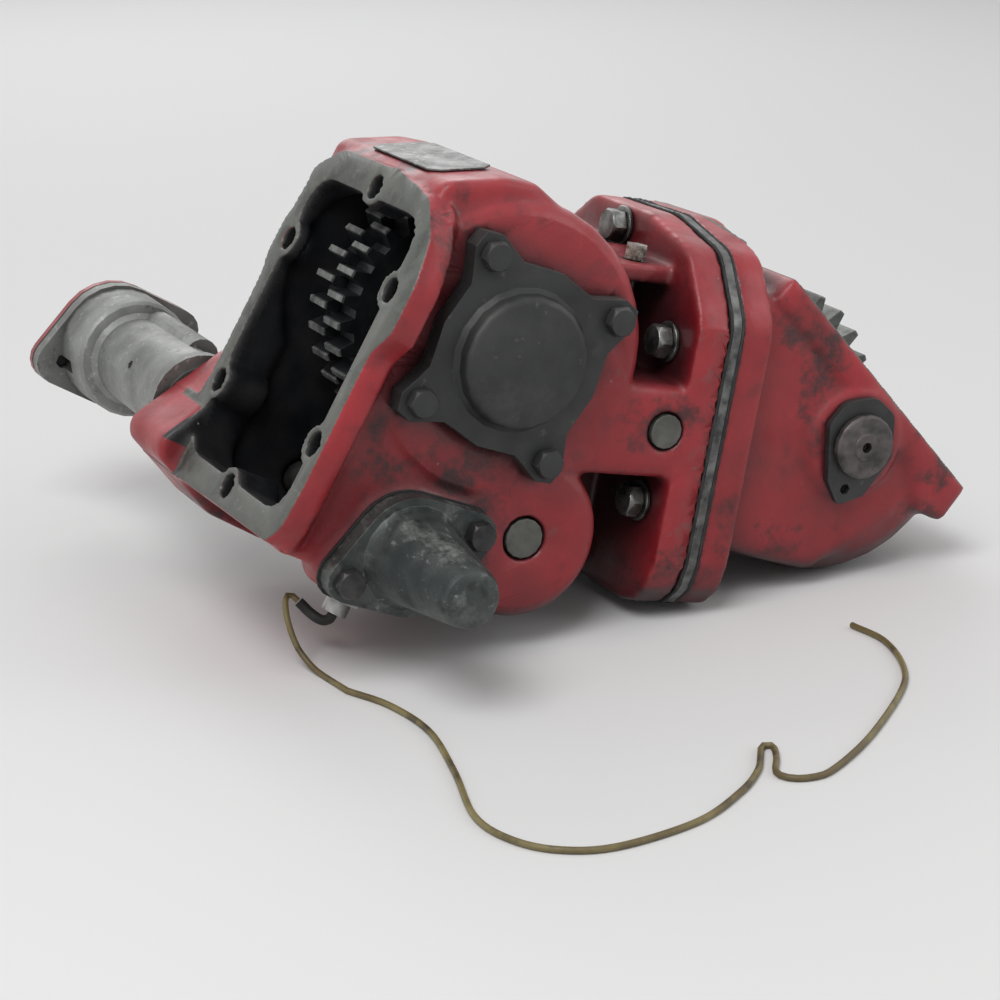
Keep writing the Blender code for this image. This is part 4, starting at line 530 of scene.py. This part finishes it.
def gear_finish(name, node, highlight_low, highlight_high, body_low, body_high):
    """Oily dark gear whose tooth tips are rubbed bare and lightened as a painted highlight."""
    s = Shader(name)
    low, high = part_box(node)
    axis = (low + high) / 2
    tip = (high.x - low.x) / 2
    away = s.add("ShaderNodeVectorMath", operation="SUBTRACT")
    s.feed(away.inputs[0], s.place)
    away.inputs[1].default_value = axis
    flat = s.add("ShaderNodeVectorMath", operation="MULTIPLY")
    s.feed(flat.inputs[0], away.outputs["Vector"])
    flat.inputs[1].default_value = (1.0, 0.0, 1.0)
    length = s.add("ShaderNodeVectorMath", operation="LENGTH")
    s.feed(length.inputs[0], flat.outputs["Vector"])
    top = s.between(length.outputs["Value"], tip - 0.0014, tip - 0.0007)
    body = s.mix(s.between(s.noise(130, 5), 0.36, 0.66), body_low, body_high)
    grey = s.mix(s.between(s.noise(150, 5), 0.40, 0.64), highlight_low, highlight_high)
    # Wear and painted highlight: the tooth tips are lighter grey.
    worn = s.math("MULTIPLY", top, s.between(s.noise(220, 4), 0.30, 0.50, 0.55, 1.0))
    s.bump((s.noise(1100, 2), 0.12, 0.0002))
    return s.finish(s.mix(worn, body, grey), s.between(s.noise(150, 3), 0.35, 0.65, 0.34, 0.52), 0.45)


def rubber(name, low, high):
    s = Shader(name)
    dark = s.mix(s.between(s.noise(150, 4), 0.4, 0.65), low, high)
    s.bump((s.noise(900, 2), 0.25, 0.0002))
    return s.finish(dark, s.between(s.noise(120, 3), 0.4, 0.6, 0.62, 0.82))


def corroded_fitting():
    s = Shader("corroded_fitting")
    grey = s.mix(s.between(s.noise(260, 5, 0.7), 0.40, 0.62), (0.075, 0.066, 0.055), (0.420, 0.400, 0.360))
    rust = s.between(s.noise(190, 5, 0.7), 0.54, 0.64, 0.0, 0.7)
    grey = s.mix(rust, grey, (0.160, 0.085, 0.045))
    s.bump((s.noise(520, 4), 0.8, 0.0008))
    return s.finish(grey, 0.75, 0.2)


def bare_plate():
    """Blank data plate: satin aluminium with dark worn patches and no text."""
    s = Shader("blank_data_plate")
    silver = s.mix(s.between(s.noise(70, 6), 0.40, 0.64), (0.085, 0.088, 0.085), (0.200, 0.205, 0.198))
    worn = s.between(s.noise(120, 6, 0.7), 0.50, 0.62, 0.0, 0.80)
    silver = s.mix(worn, silver, (0.035, 0.034, 0.034))
    silver = s.mix(s.between(s.noise(300, 5), 0.58, 0.68, 0.0, 0.6), silver, (0.420, 0.420, 0.410))
    s.bump((s.noise(900, 2, 0.5, (0.1, 1.0, 1.0)), 0.10, 0.0002))
    return s.finish(silver, s.between(s.noise(90, 3), 0.35, 0.65, 0.32, 0.50), 0.7)


def wire_sheath():
    """Olive insulation, browned in places."""
    s = Shader("olive_wire_sheath")
    olive = s.mix(s.between(s.noise(45, 4), 0.38, 0.64), (0.120, 0.088, 0.036), (0.235, 0.195, 0.080))
    stain = s.between(s.noise(80, 5), 0.55, 0.66, 0.0, 0.8)
    olive = s.mix(stain, olive, (0.045, 0.034, 0.020))
    s.bump((s.noise(700, 2), 0.15, 0.0002))
    return s.finish(olive, 0.5)


def copy_of(node, name):
    """A welded copy of a CAD node's mesh, which may be reshaped."""
    mesh = NODES[node].data.copy()
    mesh.materials.clear()
    built = bmesh.new()
    built.from_mesh(mesh)
    bmesh.ops.remove_doubles(built, verts=built.verts, dist=0.00001)
    bmesh.ops.dissolve_limit(built, angle_limit=math.radians(0.6), verts=built.verts, edges=built.edges)
    built.to_mesh(mesh)
    built.free()
    item = bpy.data.objects.new(name, mesh)
    bpy.context.scene.collection.objects.link(item)
    return item


def hex_bolt(node, direction, across_flats, height, washer_r=0.0, washer=0.0018):
    """A bolt with a chamfered hexagon head, and a washer where washer_r is given, on the CAD bolt's axis and
    seat.

    direction points from the shank to the head.
    """
    points = np.array([vertex.co for vertex in NODES[node].data.vertices])
    direction = np.array(direction)
    level = points @ direction
    end = points[level < level.min() + 0.0001]
    foot = end.mean(axis=0)
    away = np.linalg.norm(np.cross(points - foot, direction), axis=1)
    shank_r = np.linalg.norm(end - foot, axis=1).max()
    seat = level[away > shank_r * 1.2].min() - foot @ direction
    frame_at = Vector(direction).to_track_quat("Z", "Y").to_matrix().to_4x4()
    frame_at.translation = Vector(foot)
    rings = [(0.0, 0.9 * shank_r), (0.0006, shank_r), (seat, shank_r)]
    base = seat
    if washer_r:
        rings += [(seat + 0.0001, washer_r - 0.0003), (seat + 0.0004, washer_r),
                  (seat + washer - 0.0003, washer_r), (seat + washer, washer_r - 0.0003)]
        base = seat + washer
    corner = across_flats / math.sqrt(3)
    flat = across_flats / 2
    rings += [(base + 0.0002, flat * 0.96), (base + 0.0003, flat * 0.99)]
    angles = [2 * math.pi * i / BOLT_TURNS for i in range(BOLT_TURNS)]
    outline = [[(limit, low)] * BOLT_TURNS for low, limit in rings]
    for share in (0.0, 0.35, 0.70, 1.0):
        limit = corner * (0.995 - 0.115 * (1 - share) ** 2 * (1 if share < 0.3 else 0.5))
        level = base + 0.0004 + 0.0009 * share
        outline.append([(min(hexagon(angle, flat), limit), level) for angle in angles])
    for share in (0.0, 0.4, 0.75, 1.0):
        limit = corner - (corner - flat * 0.94) * share ** 0.8
        level = base + height - 0.0016 * (1 - share)
        outline.append([(min(hexagon(angle, flat), limit), level) for angle in angles])
    built = bmesh.new()
    loops = []
    for ring in outline:
        loops.append([built.verts.new(frame_at @ Vector((r * math.cos(angle), r * math.sin(angle), z)))
                      for angle, (r, z) in zip(angles, ring)])
    for below, above in zip(loops, loops[1:]):
        for i in range(BOLT_TURNS):
            k = (i + 1) % BOLT_TURNS
            built.faces.new((below[i], below[k], above[k], above[i]))
    built.faces.new(list(reversed(loops[0])))
    built.faces.new(loops[-1])
    bmesh.ops.recalc_face_normals(built, faces=built.faces)
    mesh = bpy.data.meshes.new(node + "_hex")
    built.to_mesh(mesh)
    built.free()
    item = bpy.data.objects.new(node + "_hex", mesh)
    bpy.context.scene.collection.objects.link(item)
    mesh.shade_smooth()
    mesh.set_sharp_from_angle(angle=math.radians(28))
    return item


def hexagon(angle, flat):
    """Distance from a hexagon's centre to its outline at an angle."""
    step = math.pi / 3
    return flat / math.cos((angle % step) - step / 2)


def make_bolts(finishes):
    joint = -plane_frame(JOINT_ANGLE)[0]
    front = (0.0, -1.0, 0.0)
    rear = (0.0, 1.0, 0.0)
    rows = (
        ("joint_bolt", 6, joint, 0.0138, 0.0072, 0.0092, "bolt_bright", "bright_steel"),
        ("front_cover_bolt", 4, front, 0.0118, 0.0056, 0.0, "black_paint", "dark_steel"),
        ("rear_cover_bolt", 4, rear, 0.0098, 0.0042, 0.0, "dark_steel", "dark_steel"),
        ("shift_cap_bolt", 2, front, 0.0118, 0.0056, 0.0, "dark_steel", "dark_steel"),
        ("neck_bolt", 2, rear, 0.0098, 0.0042, 0.0, "dark_steel", "dark_steel"),
        ("cylinder_bolt", 2, rear, 0.0118, 0.0052, 0.0, "dark_steel", "dark_steel"),
    )
    for name, count, direction, across, height, washer_r, key, slot in rows:
        for node in numbered(name, count):
            item = hex_bolt(node, direction, across, height, washer_r)
            item.data.materials.append(finishes[key])
            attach(item, body_of(node))
            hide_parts(node)


def seal_line(node, finish):
    """Squeezed-out sealant along a joint gasket's outer edge."""
    low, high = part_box(node)
    centre = (low + high) / 2
    side = Vector(plane_frame(JOINT_ANGLE)[1])
    mesh = NODES[node].data
    tree = BVHTree.FromPolygons([vertex.co for vertex in mesh.vertices],
                                [tuple(polygon.vertices) for polygon in mesh.polygons])
    points = []
    for i in range(SEAL_POINTS):
        angle = 2 * math.pi * i / SEAL_POINTS
        out = side * math.cos(angle) + Vector((0.0, 1.0, 0.0)) * math.sin(angle)
        hit = tree.ray_cast(centre + out * 0.3, -out)[0]
        if hit:
            points.append((hit - out * SEAL_SINK, angle))
    curve = bpy.data.curves.new(node + "_sealant", "CURVE")
    curve.dimensions = "3D"
    curve.bevel_depth = SEAL_R
    curve.bevel_resolution = 2
    spline = curve.splines.new("POLY")
    spline.use_cyclic_u = True
    spline.points.add(len(points) - 1)
    for spline_point, (place_at, angle) in zip(spline.points, points):
        wave = 0.25 * math.sin(23 * angle) * math.sin(7 * angle + 1)
        place_at.z = max(place_at.z, SEAL_LOWEST)
        spline_point.co = (*place_at, 1.0)
        spline_point.radius = 0.85 + wave + 0.35 * math.sin(61 * angle) ** 4
    item = bpy.data.objects.new(node + "_sealant", curve)
    curve.materials.append(finish)
    bpy.context.scene.collection.objects.link(item)
    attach(item, "housing")


def body_of(node):
    return NODES[node]["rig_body"]


def dressed(node, material, bevel=0.0004, angle=32):
    """A node's own form with fine chamfers and smooth shading, in its worn finish."""
    item = copy_of(node, node + "_finished")
    item.data.materials.append(material)
    chamfer = item.modifiers.new("chamfer", "BEVEL")
    chamfer.width = bevel
    chamfer.segments = 2
    chamfer.limit_method = "ANGLE"
    chamfer.angle_limit = math.radians(angle)
    chamfer.harden_normals = True
    item.data.shade_smooth()
    item.data.set_sharp_from_angle(angle=math.radians(angle))
    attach(item, body_of(node))
    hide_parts(node)


def modified_mesh(item):
    """The object's mesh after its modifiers, which are then removed."""
    graph = bpy.context.evaluated_depsgraph_get()
    mesh = bpy.data.meshes.new_from_object(item.evaluated_get(graph))
    item.modifiers.clear()
    old = item.data
    item.data = mesh
    bpy.data.meshes.remove(old)
    return mesh


def plane_frame(angle):
    """(normal, direction along the face) of an inclined face."""
    return (np.array((math.cos(angle), 0.0, math.sin(angle))),
            np.array((math.sin(angle), 0.0, -math.cos(angle))))


def relaxed(mesh, planes):
    """Rounds a dense mesh's edges as a casting's are, and keeps its machined planes flat."""
    count = len(mesh.vertices)
    flat = np.empty(count * 3)
    mesh.vertices.foreach_get("co", flat)
    points = flat.reshape(-1, 3) - np.array(MODEL_ORIGIN)
    ends = np.empty(len(mesh.edges) * 2, dtype=np.int64)
    mesh.edges.foreach_get("vertices", ends)
    first, second = ends.reshape(-1, 2).T
    joined = np.bincount(ends, minlength=count).astype(float)
    on_plane = [(normal, distance, np.abs(points @ normal - distance) < PLANE_REACH)
                for normal, distance in planes]
    for _ in range(CASTING_ROUNDS):
        middle = np.empty_like(points)
        for axis in range(3):
            middle[:, axis] = (np.bincount(first, points[second, axis], count)
                               + np.bincount(second, points[first, axis], count)) / joined
        points += (middle - points) * 0.5
        for normal, distance, held in on_plane:
            points[held] += np.outer(distance - points[held] @ normal, normal)
    mesh.vertices.foreach_set("co", (points + np.array(MODEL_ORIGIN)).ravel())
    mesh.update()


def cast_skin(node, material_rules, planes):
    """A node's form with the rounded edges of a casting, its faces sorted into materials by the rules."""
    item = copy_of(node, node + "_casting")
    remesh = item.modifiers.new("remesh", "REMESH")
    remesh.mode = "VOXEL"
    remesh.voxel_size = CASTING_VOXEL
    mesh = modified_mesh(item)
    relaxed(mesh, planes)
    triangles = sum(len(polygon.vertices) - 2 for polygon in mesh.polygons)
    fewer = item.modifiers.new("fewer", "DECIMATE")
    fewer.ratio = min(1.0, CASTING_TRIANGLES / triangles)
    mesh = modified_mesh(item)
    mesh.shade_smooth()
    count = len(mesh.polygons)
    centres = np.empty(count * 3)
    mesh.polygons.foreach_get("center", centres)
    centres = centres.reshape(-1, 3) - np.array(MODEL_ORIGIN)
    index = np.zeros(count, dtype=np.int32)
    mesh.materials.clear()
    for number, (material, rule) in enumerate(material_rules):
        mesh.materials.append(material)
        if rule:
            index[rule(centres)] = number
    mesh.polygons.foreach_set("material_index", index)
    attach(item, body_of(node))
    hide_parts(node)


def in_cylinder(centres, axis, radius, front, rear):
    away = np.hypot(centres[:, 0] - axis[0], centres[:, 2] - axis[1])
    return (away < radius) & (centres[:, 1] > front) & (centres[:, 1] < rear)


def in_box(centres, angle, along, depth, out):
    """Inside a box set along an inclined face: along the face, along Y and outward."""
    normal, side = plane_frame(angle)
    t = centres @ side
    n = centres @ normal
    y = centres[:, 1]
    return ((t > along[0]) & (t < along[1]) & (y > depth[0]) & (y < depth[1])
            & (n > out[0]) & (n < out[1]))


def axis_of(node):
    """Axis of a node that runs along Y, from the main axis."""
    low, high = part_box(node)
    return ((low.x + high.x) / 2 - MODEL_ORIGIN.x, (low.z + high.z) / 2 - MODEL_ORIGIN.z)


MAIN_AXIS = (0.0, 0.0)
IDLER_AXIS = axis_of("idler_pin")
LAY_AXIS = axis_of("lay_pin")
INPUT_AXIS = axis_of("input_gear")


# Cavities of the housings: boxes are along the aperture, along Y and outward, and bores are axis, radius,
# front and rear
MAIN_BOXES = (
    ((-0.1035, 0.0365), (-0.0020, 0.1105), (0.0510, 0.0600)),
    ((-0.1090, 0.0355), (0.0112, 0.1125), (-0.0150, 0.0515)),
)
MAIN_BORES = (
    (MAIN_AXIS, 0.0585, 0.0112, 0.1125), (LAY_AXIS, 0.0392, 0.0112, 0.1122),
    (IDLER_AXIS, 0.0627, 0.0860, 0.1129), (IDLER_AXIS, 0.0455, 0.0657, 0.0900),
)
INPUT_BORE = (INPUT_AXIS, 0.0615, 0.0390, 0.1120)


def inside_main(centres):
    """The main housing's cavities."""
    inside = np.zeros(len(centres), dtype=bool)
    for box in MAIN_BOXES:
        inside |= in_box(centres, APERTURE_ANGLE, *box)
    for bore in MAIN_BORES:
        inside |= in_cylinder(centres, *bore)
    return inside


def inside_input(centres):
    """The input housing's cavity."""
    return in_cylinder(centres, *INPUT_BORE)


def make_stage():
    """Pale floor and soft studio light."""
    bpy.ops.mesh.primitive_plane_add(size=6, location=(0, 0, 0))
    floor = bpy.context.object
    floor.name = "floor"
    s = Shader("pale_floor")
    s.principled.inputs["Specular IOR Level"].default_value = 0.1
    floor.data.materials.append(s.finish((0.86, 0.86, 0.86), 0.9))
    world = bpy.data.worlds.new("studio")
    bpy.context.scene.world = world
    world.use_nodes = True
    tree = world.node_tree
    light = tree.nodes["Background"]
    light.inputs["Color"].default_value = (1.0, 1.0, 1.0, 1.0)
    light.inputs["Strength"].default_value = WORLD_LIGHT
    white = tree.nodes.new("ShaderNodeBackground")
    white.inputs["Color"].default_value = (1.0, 1.0, 1.0, 1.0)
    white.inputs["Strength"].default_value = 1.0
    rays = tree.nodes.new("ShaderNodeLightPath")
    seen = tree.nodes.new("ShaderNodeMath")
    seen.operation = "MAXIMUM"
    also = tree.nodes.new("ShaderNodeMath")
    also.operation = "MAXIMUM"
    tree.links.new(rays.outputs["Is Camera Ray"], seen.inputs[0])
    tree.links.new(rays.outputs["Is Glossy Ray"], seen.inputs[1])
    tree.links.new(seen.outputs["Value"], also.inputs[0])
    tree.links.new(rays.outputs["Is Transmission Ray"], also.inputs[1])
    mixed = tree.nodes.new("ShaderNodeMixShader")
    tree.links.new(also.outputs["Value"], mixed.inputs["Fac"])
    tree.links.new(light.outputs["Background"], mixed.inputs[1])
    tree.links.new(white.outputs["Background"], mixed.inputs[2])
    tree.links.new(mixed.outputs["Shader"], tree.nodes["World Output"].inputs["Surface"])
    for name, place_at, size, power in LAMPS:
        data = bpy.data.lights.new(name, "AREA")
        data.shape = "SQUARE"
        data.size = size
        data.energy = power
        lamp = bpy.data.objects.new(name, data)
        bpy.context.scene.collection.objects.link(lamp)
        lamp.location = place_at
        lamp.rotation_euler = Vector(place_at).to_track_quat("Z", "Y").to_euler()


def dress_parts(finishes):
    """Every node in the dress table gets a finished copy."""
    for names, key, slot, bevel in DRESSES:
        for node in names:
            dressed(node, finishes[key], bevel)


def numbered(name, count):
    return tuple(f"{name}_{i + 1}" for i in range(count))


def make_finishes():
    return {
        "red_paint": painted_casting("worn_red_paint"),
        "main_paint": painted_casting("worn_red_paint_main", (APERTURE_ANGLE, APERTURE_DISTANCE),
                                      APERTURE_HOLES, APERTURE_MOUTH),
        "input_paint": painted_casting("worn_red_paint_input", (PLATE_ANGLE, PLATE_FACE), PLATE_HOLES),
        "inside": oily_shaded_inside(),
        "black_paint": black_paint(),
        "cast_aluminium": cast_aluminium(),
        "worn_cap": scuffed_highlit_cap(),
        "gear_steel": steel("oiled_gear_steel", (0.030, 0.030, 0.029), (0.085, 0.083, 0.078), 0.38, 0.6, 0.7),
        # The driven and sliding gears are near black, partly oil and partly painted shade.
        "driven_gear": gear_finish("rubbed_highlit_driven_gear", "driven_gear", *TIP_HIGHLIGHT_GREYS, *OILY_SHADED_GREYS),
        "sliding_gear": gear_finish("rubbed_highlit_sliding_gear", "sliding_gear", *TIP_HIGHLIGHT_GREYS, *OILY_SHADED_GREYS),
        "input_gear": gear_finish("rubbed_highlit_input_gear", "input_gear", *TIP_HIGHLIGHT_GREYS, (0.045, 0.048, 0.043),
                                  (0.120, 0.126, 0.115)),
        "pin_steel": steel("ground_pin_steel", (0.070, 0.072, 0.064), (0.115, 0.116, 0.106), 0.42, 0.3, 0.3),
        "plate_steel": steel("stained_plate_steel", (0.040, 0.042, 0.041), (0.170, 0.175, 0.170), 0.34, 0.6,
                             0.8),
        "pin_head": steel("speckled_pin_head", (0.030, 0.027, 0.027), (0.115, 0.100, 0.100), 0.45, 0.4, 0.6),
        "dark_steel": steel("dark_oiled_steel", (0.018, 0.018, 0.019), (0.060, 0.059, 0.058), 0.42, 0.5),
        "bright_steel": steel("worn_bright_steel", (0.230, 0.228, 0.222), (0.420, 0.415, 0.405), 0.34, 0.8),
        "bolt_bright": steel("worn_bolt_steel", (0.060, 0.062, 0.058), (0.240, 0.242, 0.232), 0.30, 0.75,
                             0.9),
        "corroded": corroded_fitting(),
        "data_plate": bare_plate(),
        "gasket_black": rubber("black_gasket", (0.008, 0.008, 0.008), (0.026, 0.025, 0.024)),
        "wire_sheath": wire_sheath(),
    }


def make_castings(finishes):
    aperture = plane_frame(APERTURE_ANGLE)[0]
    joint = plane_frame(JOINT_ANGLE)[0]
    plate = plane_frame(PLATE_ANGLE)[0]
    front = np.array((0.0, -1.0, 0.0))
    cast_skin("main_housing", [(finishes["main_paint"], None), (finishes["inside"], inside_main)],
              [(aperture, APERTURE_DISTANCE), (joint, JOINT_FACE), (front, 0.0)])
    cast_skin("input_housing", [(finishes["input_paint"], None), (finishes["inside"], inside_input)],
              [(plate, PLATE_FACE), (joint, INPUT_JOINT_FACE)])


make_camera()
FINISHES = make_finishes()
make_wire(FINISHES["wire_sheath"], FINISHES["gasket_black"])
make_castings(FINISHES)
dress_parts(FINISHES)
make_bolts(FINISHES)
seal_line("joint_gasket_main", FINISHES["gasket_black"])
seal_line("joint_gasket_input", FINISHES["gasket_black"])
make_stage()
bpy.context.scene.view_settings.view_transform = "Standard"
